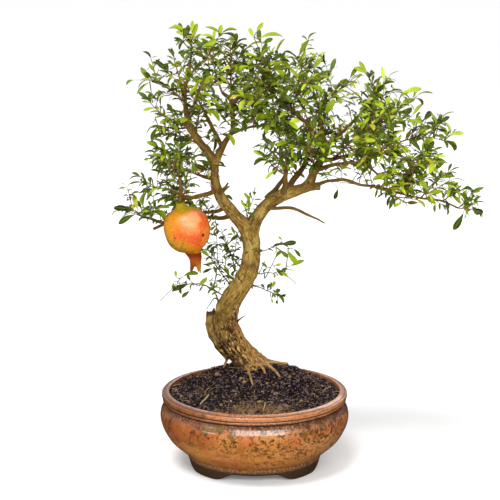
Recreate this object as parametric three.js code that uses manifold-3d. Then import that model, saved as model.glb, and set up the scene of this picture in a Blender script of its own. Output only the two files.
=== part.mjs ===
// Pomegranate bonsai: an old leaning tree with one ripening fruit, in a round glazed pot on four feet.
// Millimetres, +Z up, the front towards -Y. Everything is laid out about the pot's own axis. At the end
// the whole is moved so that the middle of its bounding box stands over the origin, feet on Z = 0.

import * as THREE from 'three';
import { mergeVertices } from 'three/addons/utils/BufferGeometryUtils.js';
import Module from 'manifold-3d';

const wasm = await Module();
wasm.setup();

// ---- driving dimensions -----------------------------------------------------------------------

const GAP = 0.3; // between pieces that touch

const FOOT_BOTTOM = 3; // heights are counted from a level a little under the feet
const RIM_TOP = 106; // so the pot is 103 tall
const POT_SIDES = 36;
const MOUTH_RADIUS = 115;
const DRAIN_RADIUS = 13;
const FOOT_TOP = 14; // underside of the pot's foot ring
const FLOOR_TOP = 25;

const SCREEN_SIDE = 42;
const SCREEN_THICKNESS = 1.6;
const SCREEN_HOLES = 3; // in each row

const SOIL_BELOW_RIM = 4;
const MOUND_HEIGHT = 28; // of the soil heaped against the trunk
const MOUND_SPREAD = [62, 40];
const MOUND_MIDDLE = [4, 52];

const LEAF_LENGTH = 25;
const LEAF_WIDTH = 8.5;
const LEAF_THICKNESS = 1.1; // at the midrib

const FRUIT_NECK = [-97, -42, 372.9]; // top of the fruit, under its stalk
const FRUIT_LEAN = 0.235; // radians from plumb, the crown towards +X
const FRUIT_SIDES = 16;

const COLOURS = {
  glaze: 0xa8623a,
  soil: 0x2c2522,
  plastic: 0x23261f,
  bark: 0x8c724a,
  leaf: 0x6a8f30,
  fruit: 0xdf6f35,
  bud: 0xe0552b,
};

// ---- solids -----------------------------------------------------------------------------------

function closedSolid(position, index) {
  const build = (triangles) => new wasm.Manifold(new wasm.Mesh({
    numProp: 3,
    vertProperties: new Float32Array(position),
    triVerts: new Uint32Array(triangles),
  }));
  const solid = build(index);
  return solid.volume() < 0 ? build([...index].reverse()) : solid;
}

function fromGeometry(geometry) {
  geometry.deleteAttribute('normal');
  geometry.deleteAttribute('uv');
  const merged = mergeVertices(geometry, 1e-3);
  const all = merged.index.array;
  const index = [];
  for (let i = 0; i < all.length; i += 3) {
    const [a, b, c] = all.subarray(i, i + 3);
    if (a !== b && b !== c && c !== a) index.push(a, b, c);
  }
  return closedSolid(merged.attributes.position.array, index);
}

// A skin over rings that have the same number of points. It closes flat, or on a point if one is given.
function loft(rings, point) {
  const sides = rings[0].length;
  const position = [...rings.flat(), ...(point ? [point] : [])].flatMap((p) => [p.x, p.y, p.z]);
  const last = (rings.length - 1) * sides;
  const index = [];
  for (let start = 0; start < last; start += sides) {
    for (let j = 0; j < sides; j++) {
      const a = start + j;
      const b = start + ((j + 1) % sides);
      index.push(a, b, b + sides, a, b + sides, a + sides);
    }
  }
  for (let j = 1; j < sides - 1; j++) index.push(0, j + 1, j);
  if (point) {
    for (let j = 0; j < sides; j++) index.push(last + j, last + ((j + 1) % sides), last + sides);
  } else {
    for (let j = 1; j < sides - 1; j++) index.push(last, last + j, last + j + 1);
  }
  return closedSolid(position, index);
}

// A lathe turned about +Z, from a list of [radius, height] that closes on itself or on the axis.
function turned(profile, sides) {
  const geometry = new THREE.LatheGeometry(profile.map(([r, z]) => new THREE.Vector2(r, z)), sides);
  return geometry.rotateX(Math.PI / 2);
}

const joined = (solids) => solids.reduce((whole, piece) => whole.add(piece));

function largestPiece(solid) {
  return solid.decompose().reduce((best, piece) => (piece.volume() > best.volume() ? piece : best));
}

function mesh(name, solid, colour, roughness) {
  const { numProp, vertProperties, triVerts } = solid.getMesh();
  const geometry = new THREE.BufferGeometry();
  geometry.setAttribute('position', new THREE.BufferAttribute(vertProperties.slice(), numProp));
  geometry.setIndex(new THREE.BufferAttribute(triVerts.slice(), 1));
  geometry.computeVertexNormals();
  const piece = new THREE.Mesh(geometry, new THREE.MeshStandardMaterial({ color: colour, roughness }));
  piece.name = name;
  return piece;
}

// ---- pot --------------------------------------------------------------------------------------

const POT_OUTSIDE = [
  [MOUTH_RADIUS, RIM_TOP], [125, RIM_TOP], [124.2, 94], [122.7, 90.5], [126.2, 84],
  [127.4, 73.6], [124.6, 59.5], [114.5, 42], [95, 25.5], [90.5, 22], [90, FOOT_TOP],
];
const POT_INSIDE = [[84, FLOOR_TOP], [108, 46], [118.5, 70], [MOUTH_RADIUS, 90]];

// One bracket foot: a block of the foot ring whose underside curves up to both ends.
function bracketFoot(middle) {
  const flat = [-11, 0, 11].map((degrees) => [degrees, FOOT_BOTTOM]);
  const underside = [[-29, 12.5], [-23, 8.5], [-17, 5], ...flat, [17, 5], [23, 8.5], [29, 12.5]];
  const sections = underside.map(([degrees, bottom]) => {
    const angle = THREE.MathUtils.degToRad(middle + degrees);
    const corner = (r, z) => new THREE.Vector3(r * Math.cos(angle), r * Math.sin(angle), z);
    return [corner(76, bottom), corner(88.5, bottom), corner(89.8, FOOT_TOP + 2), corner(77, FOOT_TOP + 2)];
  });
  return loft(sections);
}

function pot() {
  const underside = [[77, FOOT_TOP], [77, FOOT_TOP + 3], [DRAIN_RADIUS, FOOT_TOP + 3]];
  const floor = [[DRAIN_RADIUS, FLOOR_TOP]];
  const profile = [...POT_OUTSIDE, ...underside, ...floor, ...POT_INSIDE, POT_OUTSIDE[0]];
  const feet = [40, 140, 220, 320].map(bracketFoot);
  return joined([fromGeometry(turned(profile, POT_SIDES)), ...feet]);
}

// ---- drain screen and soil --------------------------------------------------------------------

const block = (x, y, z) => new THREE.BoxGeometry(x, y, z);

// A thin plastic grid on the floor of the pot, over the drain hole, which keeps the soil in.
function drainScreen() {
  const pitch = SCREEN_SIDE / (SCREEN_HOLES + 0.6);
  const offset = (index) => (index - (SCREEN_HOLES - 1) / 2) * pitch;
  const height = FLOOR_TOP + GAP + SCREEN_THICKNESS / 2;
  const sheet = block(SCREEN_SIDE, SCREEN_SIDE, SCREEN_THICKNESS);
  let plate = fromGeometry(sheet.translate(0, 0, height));
  for (let i = 0; i < SCREEN_HOLES; i++) {
    for (let j = 0; j < SCREEN_HOLES; j++) {
      const hole = block(0.6 * pitch, 0.6 * pitch, 3 * SCREEN_THICKNESS);
      plate = plate.subtract(fromGeometry(hole.translate(offset(i), offset(j), height)));
    }
  }
  return plate;
}

function soilHeight(x, y) {
  const wallward = Math.hypot(x, y) / MOUTH_RADIUS;
  const away = Math.hypot((x - MOUND_MIDDLE[0]) / MOUND_SPREAD[0], (y - MOUND_MIDDLE[1]) / MOUND_SPREAD[1]);
  const mound = MOUND_HEIGHT * Math.exp(-0.5 * away * away) * (1 - wallward ** 6);
  const lumps = 1.1 * Math.sin(x / 8.3 + 1) * Math.cos(y / 9.7) + 0.7 * Math.sin(x / 3.9 - y / 5.1);
  return RIM_TOP - SOIL_BELOW_RIM + mound + lumps;
}

// The soil fills the pot. Its top is heaped up round the trunk, which stands in a plain hole.
function soil(woodWithGap) {
  const wall = [...POT_INSIDE, [MOUTH_RADIUS, RIM_TOP - SOIL_BELOW_RIM]];
  const side = wall.map(([r, z]) => [r - 1.5 * GAP, z]);
  const bottom = FLOOR_TOP + GAP;
  side[0][1] = bottom;
  const top = [92, 69, 47, 25].map((r) => [r, RIM_TOP]);
  const profile = [[0, bottom], ...side, ...top, [0, RIM_TOP]];
  const geometry = turned(profile, POT_SIDES);
  const place = geometry.attributes.position;
  const edge = side.length; // the profile's point at the wall, where the top begins
  for (let i = 0; i < place.count; i++) {
    if (i % profile.length > edge) place.setZ(i, soilHeight(place.getX(i), place.getY(i)));
  }
  const pocketSide = SCREEN_SIDE + 2 * GAP;
  const pocket = block(pocketSide, pocketSide, 2 * (SCREEN_THICKNESS + GAP)).translate(0, 0, bottom);
  const body = fromGeometry(geometry).subtract(fromGeometry(pocket));
  return largestPiece(body.subtract(woodWithGap));
}

// ---- wood -------------------------------------------------------------------------------------

// Each limb is a route of [x, y, z, radius] points, and its section has the number of sides given.
// A limb starts inside the one that bears it.
const LIMBS = {
  trunk: [10, [
    [12, 50, 86, 25], [1, 48, 118, 21.3], [-14, 46, 140, 17.8], [-28, 43, 161, 16.3], [-37, 39, 183, 15.8],
    [-38, 36, 203, 15.4], [-32, 33, 222, 14.4], [-23, 30, 237, 13.7], [-14, 28, 252, 12.8],
    [-7, 26, 268, 12.1], [-4, 24, 285, 11.8], [-4, 22, 302, 11.7], [-7, 20, 317, 12.4], [-9, 19, 327, 10],
  ]],
  sawn_stump: [7, [[-30, 50, 143, 12], [-46, 52, 163, 10], [-56, 53, 182, 8.6], [-59, 54, 201, 7]]],
  left_limb: [8, [
    [-6, 20, 313, 10.2], [-15, 17, 331, 9.4], [-27, 15, 345, 8.3], [-37, 13, 358, 8], [-46, 11, 371, 7.4],
    [-51, 9, 384, 6.5], [-53, 8, 400, 5.8], [-53, 8, 419, 5.8],
  ]],
  left_bough: [6, [
    [-53, 8, 413, 5.7], [-61, 5, 429, 5.4], [-70, 2, 442, 5.1], [-78, -1, 454, 5.1], [-85, -4, 467, 5.3],
    [-88, -6, 480, 4.5], [-90, -8, 492, 3.3], [-91, -10, 505, 2.5], [-90, -12, 520, 2.2],
    [-86, -13, 534, 2.1], [-84, -14, 548, 2], [-83, -14, 559, 1.6],
  ]],
  mid_bough: [6, [
    [-53, 8, 411, 5.3], [-49, 10, 423, 5], [-45, 12, 433, 4.5], [-36, 17, 447, 3.4], [-29, 20, 456, 3],
  ]],
  mid_bough_left: [4, [[-43, 13, 437, 3.2], [-52, 19, 454, 2.7], [-63, 25, 475, 2.2], [-74, 31, 497, 1.3]]],
  mid_bough_right: [4, [[-30, 19, 454, 2.6], [-13, 8, 462, 1.8], [4, -1, 467, 1.5], [21, -9, 472, 1.3]]],
  mid_bough_up: [5, [
    [-30, 20, 454, 2.9], [-29, 22, 468, 2.9], [-30, 24, 487, 3.8], [-31, 25, 497, 3.3], [-43, 25, 508, 1.8],
  ]],
  mid_bough_fork: [4, [[-31, 24, 491, 3.4], [-23, 20, 500, 2.6], [-1, 5, 520, 1.4]]],
  right_limb: [8, [
    [-7, 20, 313, 10.5], [-1, 20, 331, 10.2], [7, 19, 346, 9.1], [18, 18, 359, 8.4], [31, 16, 368, 8.4],
    [45, 14, 375, 8.1], [59, 11, 379, 7], [72, 9, 383, 5.6], [87, 8, 384, 4.2],
  ]],
  right_riser: [6, [
    [62, 10, 380, 6.2], [72, 9, 390, 6], [78, 8, 401, 5.4], [83, 7, 411, 5.3], [88, 6, 421, 5],
    [94, 4, 432, 4.5], [94, 2, 447, 3.9],
  ]],
  crown_diagonal: [4, [
    [93, 3, 443, 3], [83, -3, 452, 2.5], [67, -12, 473, 2.2], [50, -18, 488, 1.8], [29, -24, 507, 1.5],
    [19, -27, 516, 1.3],
  ]],
  crown_upright: [4, [[93, 2, 445, 3.4], [89, 8, 459, 2.6], [86, 18, 483, 1.8], [84, 22, 493, 1.5]]],
  crown_right: [4, [[94, 3, 440, 3.4], [104, 10, 447, 2.5], [125, 24, 463, 1.9], [142, 35, 479, 1.5]]],
  rear_bough: [5, [
    [43, 17, 378, 4.7], [52, 24, 390, 4], [67, 38, 409, 3.5], [72, 49, 429, 3.1], [66, 53, 437, 2.3],
    [47, 59, 448, 1.6],
  ]],
  rear_bough_up: [4, [[72, 47, 425, 2.8], [74, 57, 446, 2.1], [72, 66, 463, 1.5]]],
  front_bough: [4, [
    [39, 8, 376, 4.2], [40, 2, 389, 3.4], [40, -7, 410, 3], [34, -15, 430, 1.8], [33, -23, 452, 1.3],
  ]],
  slanting_bough: [4, [[16, 20, 366, 4.2], [31, 29, 380, 3.2], [43, 37, 399, 2.3], [42, 45, 418, 1.5]]],
  low_branch: [4, [
    [76, 8, 385, 3.4], [94, -3, 393, 2.3], [116, -15, 398, 2.2], [139, -25, 393, 1.8], [165, -33, 391, 1.6],
    [191, -38, 384, 1.6], [217, -40, 378, 1.4], [243, -42, 375, 1.3], [265, -42, 366, 1.1],
  ]],
  right_branch: [4, [
    [84, 7, 408, 3.8], [103, -13, 417, 2.6], [126, -30, 423, 2.2], [147, -43, 420, 1.7], [167, -50, 405, 1.2],
  ]],
  upper_right_branch: [4, [
    [89, 6, 421, 3.6], [100, 14, 420, 2.9], [127, 27, 423, 2.3], [154, 36, 428, 1.8], [181, 41, 431, 1.4],
  ]],
  dead_twig: [4, [
    [18, 14, 356, 4], [27, 8, 355, 2.4], [50, -6, 358, 2.2], [69, -16, 352, 1.8], [92, -26, 342, 0.8],
  ]],
  fruit_branch: [4, [
    [-51, 8, 380, 4.2], [-60, -2, 377, 3], [-85, -26, 376, 2.6], [-94, -36, 378.5, 3], [-96, -41, 388, 2.6],
    [-97, -44, 407, 2.2],
  ]],
  fruit_stalk: [5, [[-95.5, -40.5, 381, 2.8], [-97, -42, 377, 2.5], [-97, -42, 373.5, 2.3]]],
  left_rear_branch: [4, [
    [-31, 16, 344, 3.9], [-44, 27, 338, 2.9], [-73, 44, 335, 2.6], [-112, 54, 327, 2.4], [-124, 56, 325, 2.3],
    [-143, 57, 332, 1.8], [-152, 56, 333, 1.5],
  ]],
  left_rear_twig: [4, [[-41, 14, 354, 3.2], [-53, 24, 347, 2.4], [-80, 41, 342, 1.8]]],
  cut_spur: [4, [[-121, 55, 324, 2.2], [-137, 50, 318, 1.9]]],
  upper_left_spur: [4, [[-52, 8, 395, 3.7], [-60, 14, 395, 2.7], [-77, 26, 397, 1.6]]],
  front_spur: [4, [[-47, 6, 376, 3.2], [-40, -2, 385, 1.6], [-35, -6, 392, 1.2]]],
  bud_spur: [4, [[-56, 7, 420, 2.6], [-60, -2, 417, 1.4], [-67, -8, 414, 1.1]]],
  root_right: [6, [
    [-4, 46, 138, 10], [12, 48, 134, 5.5], [22, 51, 130.5, 3.4], [34, 55, 127.5, 2.8], [46, 59, 125, 2.3],
  ]],
  root_right_front: [4, [[2, 40, 136, 8], [16, 33, 132, 2.4], [27, 26, 126.5, 1.9], [37, 18, 117, 1.5]]],
  root_fork: [4, [[2, 38, 137, 6], [8, 32, 131.5, 2.2], [13, 26, 126, 1.8], [15, 18, 118, 1.4]]],
  root_front: [4, [
    [-14, 38, 137, 5.5], [-10, 29, 127.5, 2.4], [-6, 14, 120.5, 1.7], [-3, -2, 114, 1.4], [-1, -18, 106, 1.2],
  ]],
  root_left: [4, [[-28, 44, 147, 6], [-37, 46, 137, 2.3], [-41, 47, 127, 1.9], [-44, 47, 116, 1.6]]],
  root_left_rear: [5, [[-8, 54, 134, 10], [-24, 64, 125.5, 5], [-38, 73, 115, 3], [-48, 80, 103, 2.2]]],
  root_rear: [5, [[4, 52, 130, 11], [12, 66, 127, 5], [20, 80, 119, 3.2], [26, 90, 106, 2.2]]],
};

const curveOf = (points) => new THREE.CatmullRomCurve3(
  points.map(([x, y, z]) => new THREE.Vector3(x, y, z)), false, 'catmullrom', 0.5,
);

// Rings of a round section along a route. The bark of a thick limb is furrowed, and grow fattens any.
function limb([sides, route], grow = 0) {
  const curve = curveOf(route);
  const spans = route.length - 1;
  const furrows = sides > 7 ? 0.05 : 0;
  const across = new THREE.Vector3(0, -1, 0.2);
  return loft(route.map(([x, y, z, radius], i) => {
    const tangent = curve.getTangent(i / spans);
    const end = { 0: -grow, [spans]: grow }[i] ?? 0;
    const centre = new THREE.Vector3(x, y, z).addScaledVector(tangent, end);
    across.addScaledVector(tangent, -across.dot(tangent)).normalize();
    const beside = new THREE.Vector3().crossVectors(tangent, across);
    return Array.from({ length: sides }, (_, j) => {
      const angle = (2 * Math.PI * j) / sides;
      const bark = 1 + furrows * (Math.sin(4 * angle + i) + 0.8 * Math.sin(3 * angle - 2 * i));
      return centre.clone()
        .addScaledVector(across, (radius * bark + grow) * Math.cos(angle))
        .addScaledVector(beside, (radius * bark + grow) * Math.sin(angle));
    });
  }));
}

// ---- leafy sprays -----------------------------------------------------------------------------

// Each spray: the limb that bears it, how far along that limb, the tip of its last leaf, and how far
// its stem arches above a straight line, as a part of its length.
const SPRAYS = {
  crown_left_top: ['left_bough', 1, [-79, -18, 601], -0.03],
  crown_left_tall: ['left_bough', 0.56, [-107, -47, 577], 0.02],
  crown_left_arch: ['left_bough', 0.82, [-43, 38, 577], -0.02],
  crown_left_inner: ['mid_bough_up', 1, [-66, 42, 573], 0.03],
  crown_centre_tall: ['mid_bough_up', 0.67, [-33, 58, 586], -0.02],
  crown_left_rear: ['left_bough', 0.28, [-68, 104, 520], -0.07],
  crown_left_front: ['left_bough', 0.45, [-59, -96, 552], -0.02],
  left_high: ['left_bough', 0.35, [-141, -47, 477], -0.03],
  left_outer: ['left_bough', 0.42, [-152, 25, 515], -0.19],
  left_arching: ['left_bough', 0.6, [-153, 11, 530], 0.09],
  left_rear_high: ['left_bough', 0.18, [-133, 88, 445], 0.02],
  left_front: ['left_bough', 0.1, [-128, -66, 429], -0.02],
  left_rear_mid: ['upper_left_spur', 1, [-128, 78, 401], 0.02],
  left_above_fruit: ['fruit_branch', 1, [-124, -76, 452], 0.02],
  left_arc: ['fruit_branch', 0.42, [-156, -6, 374], 0.16],
  left_low_tip: ['left_rear_branch', 1, [-184, 62, 352], 0.03],
  left_low_front: ['left_rear_branch', 0.58, [-146, 10, 361], 0.08],
  left_behind_fruit: ['left_rear_twig', 1, [-133, 88, 358], 0.06],
  crown_mid_left: ['crown_diagonal', 1, [-13, -42, 567], -0.14],
  crown_mid_front: ['crown_diagonal', 0.86, [2, -64, 588], -0.02],
  crown_mid: ['mid_bough_fork', 1, [35, -14, 572], -0.08],
  crown_low_front: ['mid_bough_right', 1, [40, -39, 514], -0.07],
  crown_mid_rear: ['rear_bough_up', 1, [38, 100, 536], -0.01],
  crown_right_front: ['crown_diagonal', 0.6, [58, -64, 558], -0.05],
  crown_right_tall: ['crown_upright', 1, [46, 22, 569], 0.02],
  crown_right_arch: ['crown_upright', 0.72, [129, 36, 529], -0.02],
  crown_centre_rear: ['mid_bough_up', 0.46, [5, 101, 507], -0.04],
  crown_centre_front: ['mid_bough_right', 0.56, [2, -82, 531], -0.02],
  inner_rear_left: ['rear_bough', 1, [5, 110, 466], -0.03],
  inner_rear_right: ['rear_bough', 0.62, [117, 118, 452], -0.01],
  inner_front: ['front_bough', 1, [14, -60, 500], -0.02],
  inner_low: ['front_bough', 0.43, [8, -70, 446], -0.06],
  inner_mid: ['slanting_bough', 1, [57, 82, 456], -0.01],
  inner_front_right: ['right_riser', 0.43, [64, -76, 467], -0.01],
  right_top: ['crown_right', 1, [178, 50, 530], -0.09],
  right_mid_tip: ['upper_right_branch', 1, [278, 54, 428], 0.15],
  right_rear: ['upper_right_branch', 0.57, [187, 106, 476], -0.02],
  right_front_high: ['upper_right_branch', 0.29, [178, -70, 497], 0.03],
  right_crest: ['upper_right_branch', 0.71, [198, 0, 506], -0.02],
  right_low_front: ['right_branch', 1, [212, -72, 397], -0.09],
  right_front: ['right_branch', 0.62, [180, -107, 453], 0.03],
  low_branch_tip: ['low_branch', 1, [306, -37, 358], 0.02],
  low_branch_upper: ['low_branch', 0.88, [283, -64, 401], 0.02],
  low_branch_rear: ['low_branch', 0.75, [255, -2, 412], 0.02],
  low_branch_front: ['low_branch', 0.62, [208, -96, 440], 0.02],
  right_rear_low: ['upper_right_branch', 0.85, [253, 120, 397], -0.06],
  low_branch_back: ['low_branch', 0.43, [203, 41, 354], 0.03],
  sprout_right: ['trunk', 0.67, [55, 6, 274], -0.06],
  sprout_right_high: ['trunk', 0.79, [40, 2, 313], -0.06],
  sprout_right_low: ['trunk', 0.6, [43, 55, 218], 0.03],
  sprout_left_long: ['trunk', 0.45, [-106, -12, 249], 0.17],
  sprout_left_mid: ['trunk', 0.58, [-68, 66, 298], -0.11],
  sprout_left_high: ['trunk', 0.65, [-51, 56, 324], -0.09],
  sprout_fork: ['trunk', 1, [-12, 0, 372], 0],
};

const GOLDEN_ANGLE = Math.PI * (3 - Math.sqrt(5)); // between one leaf and the next round a stem
const NODE_SPACING = 35;
const TWIG_RADIUS = 0.95;
const LEAF_NECK = 0.4; // half the width of a leaf where it leaves its stem
const CLEARANCE = 0.6; // at least, between a leaf or twig and another node

// A repeatable draw from 0 to 1 for the spray and the place in it.
function draw(spray, place) {
  const value = Math.sin(spray * 12.9898 + place * 78.233) * 43758.5453;
  return value - Math.floor(value);
}

function stemCurve([bearer, place, tip, arch]) {
  const start = curveOf(LIMBS[bearer][1]).getPoint(place);
  const end = new THREE.Vector3(...tip);
  const bend = start.clone().lerp(end, 0.5);
  bend.z += 2 * arch * start.distanceTo(end);
  return new THREE.QuadraticBezierCurve3(start, bend, end);
}

// The shoots of a spray: its stem, which ends in a leaf, and the nodes that follow one another up it,
// each turned on from the last. Every second node bears a side twig that ends in a leaf, the others a
// leaf, and each has another leaf across from that.
function sprayPlan(name, number) {
  const [bearer, place, tip] = SPRAYS[name];
  const curve = stemCurve(SPRAYS[name]);
  const length = curve.getLength();
  const [, limbPoints] = LIMBS[bearer];
  const limbRadius = THREE.MathUtils.lerp(limbPoints[0][3], limbPoints.at(-1)[3], place);
  const stemEnd = 1 - (0.8 * LEAF_LENGTH) / length;
  const last = curve.getPoint(stemEnd);
  const stem = {
    route: [0, 1 / 3, 2 / 3, 1].map((t) => curve.getPoint(t * stemEnd)),
    radii: [Math.min(2.2, 0.9 * limbRadius), TWIG_RADIUS],
    along: new THREE.Vector3(...tip).sub(last).normalize(),
    size: 1,
  };
  const shoots = [];
  const nodes = Math.max(2, Math.round(length / NODE_SPACING));
  for (let k = 0; k < nodes; k++) {
    const along = stemEnd * (0.22 + (0.7 * (k + 0.4 * draw(number, k))) / (nodes - 0.6));
    const from = curve.getPoint(along);
    const forward = curve.getTangent(along);
    const turn = number + k * GOLDEN_ANGLE;
    const side = new THREE.Vector3(Math.cos(turn), Math.sin(turn), 0.25);
    side.addScaledVector(forward, -side.dot(forward)).normalize();
    const out = forward.clone().multiplyScalar(0.6).addScaledVector(side, 0.8).normalize();
    const reach = k % 2 ? 0 : (13 + 9 * draw(number, k + 20)) * (1.15 - 0.4 * along);
    const onward = out.clone().addScaledVector(forward, reach && 0.35).normalize();
    const back = forward.clone().multiplyScalar(0.7).addScaledVector(side, -0.75).normalize();
    const route = reach ? [from, from.clone().addScaledVector(out, reach)] : [from];
    const radii = reach ? [TWIG_RADIUS, 0.6 * TWIG_RADIUS] : [LEAF_NECK, LEAF_NECK];
    shoots.push({ route, radii, along: onward, size: 0.85 + 0.3 * draw(number, k + 40) });
    const size = 0.8 + 0.3 * draw(number, k + 60);
    shoots.push({ route: [from], radii: [LEAF_NECK, LEAF_NECK], along: back, size });
  }
  return { name, number, stem, shoots };
}

// A shoot: three-sided rings along its twig, which widen into a leaf that ends in a point. The leaf is
// a thin blade, flat above, arched along its length, with a keel beneath.
function shootSolid({ route, radii, along, size }, tilt) {
  const length = LEAF_LENGTH * size;
  const width = LEAF_WIDTH * size;
  const facing = new THREE.Vector3(0.6 * (tilt - 0.5), -0.5, 1);
  const ring = (centre, direction, half, rise, keel) => {
    facing.addScaledVector(direction, -facing.dot(direction)).normalize();
    const across = new THREE.Vector3().crossVectors(facing, direction);
    return [[half, rise], [-half, rise], [0, keel]].map(([aside, up]) => (
      centre.clone().addScaledVector(across, aside).addScaledVector(facing, up)));
  };
  const root = route.at(-1);
  const blade = [[0.36, 0.46, 0.06], [0.72, 0.38, 0.05]].map(([forth, half, rise]) => ring(
    root.clone().addScaledVector(along, forth * length), along,
    half * width, rise * length, rise * length - LEAF_THICKNESS,
  ));
  const twig = route.map((centre, i) => {
    const onward = route[i + 1] ? route[i + 1].clone().sub(centre).normalize() : along;
    const radius = THREE.MathUtils.lerp(radii[0], radii[1], i / Math.max(1, route.length - 1));
    return { centre, onward, radius };
  });
  const rings = twig.reverse().map(({ centre, onward, radius }) => (
    ring(centre, onward, 0.87 * radius, 0.5 * radius, -radius)));
  const point = root.clone().addScaledVector(along, length).addScaledVector(facing, -0.04 * length);
  return loft([...rings.reverse(), ...blade], point);
}

// ---- room between the pieces ------------------------------------------------------------------

function closestDistance(a, b, c, d) {
  const u = b.clone().sub(a);
  const v = d.clone().sub(c);
  const w = a.clone().sub(c);
  const [uu, uv, vv, uw, vw] = [u.dot(u), u.dot(v), v.dot(v), u.dot(w), v.dot(w)];
  const clamp = (x) => THREE.MathUtils.clamp(x, 0, 1);
  const across = uu * vv - uv * uv;
  let s = across > 1e-9 ? clamp((uv * vw - vv * uw) / across) : 0;
  const t = clamp((uv * s + vw) / vv);
  s = clamp((uv * t - uw) / uu);
  return w.addScaledVector(u, s).addScaledVector(v, -t).length();
}

// What is already placed, as bars with round ends, each owned by the node that it belongs to.
const bars = [];

function addBars(owner, points, radius) {
  for (let i = 1; i < points.length; i++) bars.push({ owner, from: points[i - 1], end: points[i], radius });
}

const isClear = (owner, from, end, radius) => bars.every((bar) => bar.owner === owner
  || closestDistance(from, end, bar.from, bar.end) > radius + bar.radius + CLEARANCE);

// ---- fruit and flower bud ---------------------------------------------------------------------

// From the flat top of the neck, down over the body to the foot of the crown and up into its cup.
const CROWN_RIM = -78; // height of the cup's rim, where the lobes of the crown begin
const CROWN_LOBES = 5;
const FRUIT_PROFILE = [
  [0, 0], [5.4, 0], [6.4, -1.5], [9.5, -5], [17.5, -8.5], [25.4, -16], [29.6, -27], [30, -38],
  [26.5, -52], [17.5, -62.5], [8.6, -67.5], [7.3, -71], [7.7, CROWN_RIM], [5.2, CROWN_RIM], [0, -70],
];

function crownLobe(number) {
  const angle = (2 * Math.PI * number) / CROWN_LOBES + 0.4;
  const out = new THREE.Vector3(Math.cos(angle), Math.sin(angle), 0);
  const aside = new THREE.Vector3(-Math.sin(angle), Math.cos(angle), 0);
  const length = 12 + 5 * draw(number, 7);
  const section = (r, z, half, thick) => [[-1, -1], [1, -1], [1, 1], [-1, 1]].map(([s, t]) => (
    new THREE.Vector3(0, 0, z).addScaledVector(out, r + (t * thick) / 2).addScaledVector(aside, s * half)));
  return loft([
    section(6.3, CROWN_RIM + 2.5, 3.2, 1.7),
    section(6.8, CROWN_RIM - 0.4 * length, 2.6, 1.5),
    section(7.6, CROWN_RIM - length, 0.6, 0.9),
  ]);
}

function fruit() {
  const body = fromGeometry(turned(FRUIT_PROFILE, FRUIT_SIDES));
  return joined([body, ...Array.from({ length: CROWN_LOBES }, (_, i) => crownLobe(i))]);
}

// A small unopened flower: a waxy cup with a pointed end.
const BUD_PROFILE = [[0, 0], [1, 0], [1.9, 2.4], [2.7, 5], [2.2, 8], [0.9, 10.5], [0, 11]];

// ---- the whole tree ---------------------------------------------------------------------------

const wood = joined(Object.values(LIMBS).map((route) => limb(route)));
const woodWithGap = joined(Object.values(LIMBS).map((route) => limb(route, GAP)));

const tree = new THREE.Group();
tree.add(mesh('pot', pot(), COLOURS.glaze, 0.3));
tree.add(mesh('drain_screen', drainScreen(), COLOURS.plastic, 0.6));
tree.add(mesh('soil', soil(woodWithGap), COLOURS.soil, 0.95));
tree.add(mesh('trunk', wood, COLOURS.bark, 0.8));

const fruitPiece = mesh('fruit', fruit(), COLOURS.fruit, 0.35);
fruitPiece.position.set(...FRUIT_NECK);
fruitPiece.position.z -= GAP;
fruitPiece.rotation.y = -FRUIT_LEAN;
tree.add(fruitPiece);

const budSeat = curveOf(LIMBS.bud_spur[1]);
const budAxis = budSeat.getTangent(1);
const bud = mesh('flower_bud', fromGeometry(turned(BUD_PROFILE, 8)), COLOURS.bud, 0.4);
bud.position.copy(budSeat.getPoint(1)).addScaledVector(budAxis, GAP);
bud.quaternion.setFromUnitVectors(new THREE.Vector3(0, 0, 1), budAxis);
tree.add(bud);

for (const [, route] of Object.values(LIMBS)) {
  const centres = curveOf(route).getPoints(route.length - 1);
  centres.slice(1).forEach((end, i) => addBars('trunk', [centres[i], end], route[i][3]));
}
const alongFruit = (depth) => (
  new THREE.Vector3(0, 0, -depth).applyEuler(fruitPiece.rotation).add(fruitPiece.position));
addBars('fruit', [alongFruit(36), alongFruit(50)], 33);
addBars('fruit', [alongFruit(0), alongFruit(96)], 9);
addBars('flower_bud', [bud.position, bud.position.clone().addScaledVector(budAxis, 11)], 3);

const plans = Object.keys(SPRAYS).map(sprayPlan);
for (const { name, stem } of plans) addBars(name, stem.route, 0.8 * stem.radii[0]);
for (const plan of plans) {
  const blades = [];
  const kept = [plan.stem, ...plan.shoots].filter((shoot) => {
    const base = shoot.route.at(-1);
    const from = base.clone().addScaledVector(shoot.along, 3);
    const tip = base.clone().addScaledVector(shoot.along, 0.93 * LEAF_LENGTH * shoot.size);
    const half = 0.42 * LEAF_WIDTH * shoot.size;
    const hasTwig = shoot.route.length === 2;
    const free = (!hasTwig || isClear(plan.name, shoot.route[0], base, TWIG_RADIUS))
      && isClear(plan.name, from, tip, half)
      && blades.every((other) => closestDistance(from, tip, other.from, other.tip) > 3.5);
    if (free) {
      blades.push({ from, tip });
      addBars(plan.name, [from, tip], half);
      if (hasTwig) addBars(plan.name, shoot.route, TWIG_RADIUS);
    }
    return free || shoot === plan.stem;
  });
  const whole = joined(kept.map((shoot, i) => shootSolid(shoot, draw(plan.number, i + 80))));
  tree.add(mesh(`spray_${plan.name}`, largestPiece(whole.subtract(woodWithGap)), COLOURS.leaf, 0.6));
}

const extent = new THREE.Box3().setFromObject(tree);
const middle = extent.getCenter(new THREE.Vector3());
tree.position.set(-middle.x, -middle.y, -extent.min.z);

const group = new THREE.Group();
group.add(tree);
group.updateMatrixWorld(true);

export default group;
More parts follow.
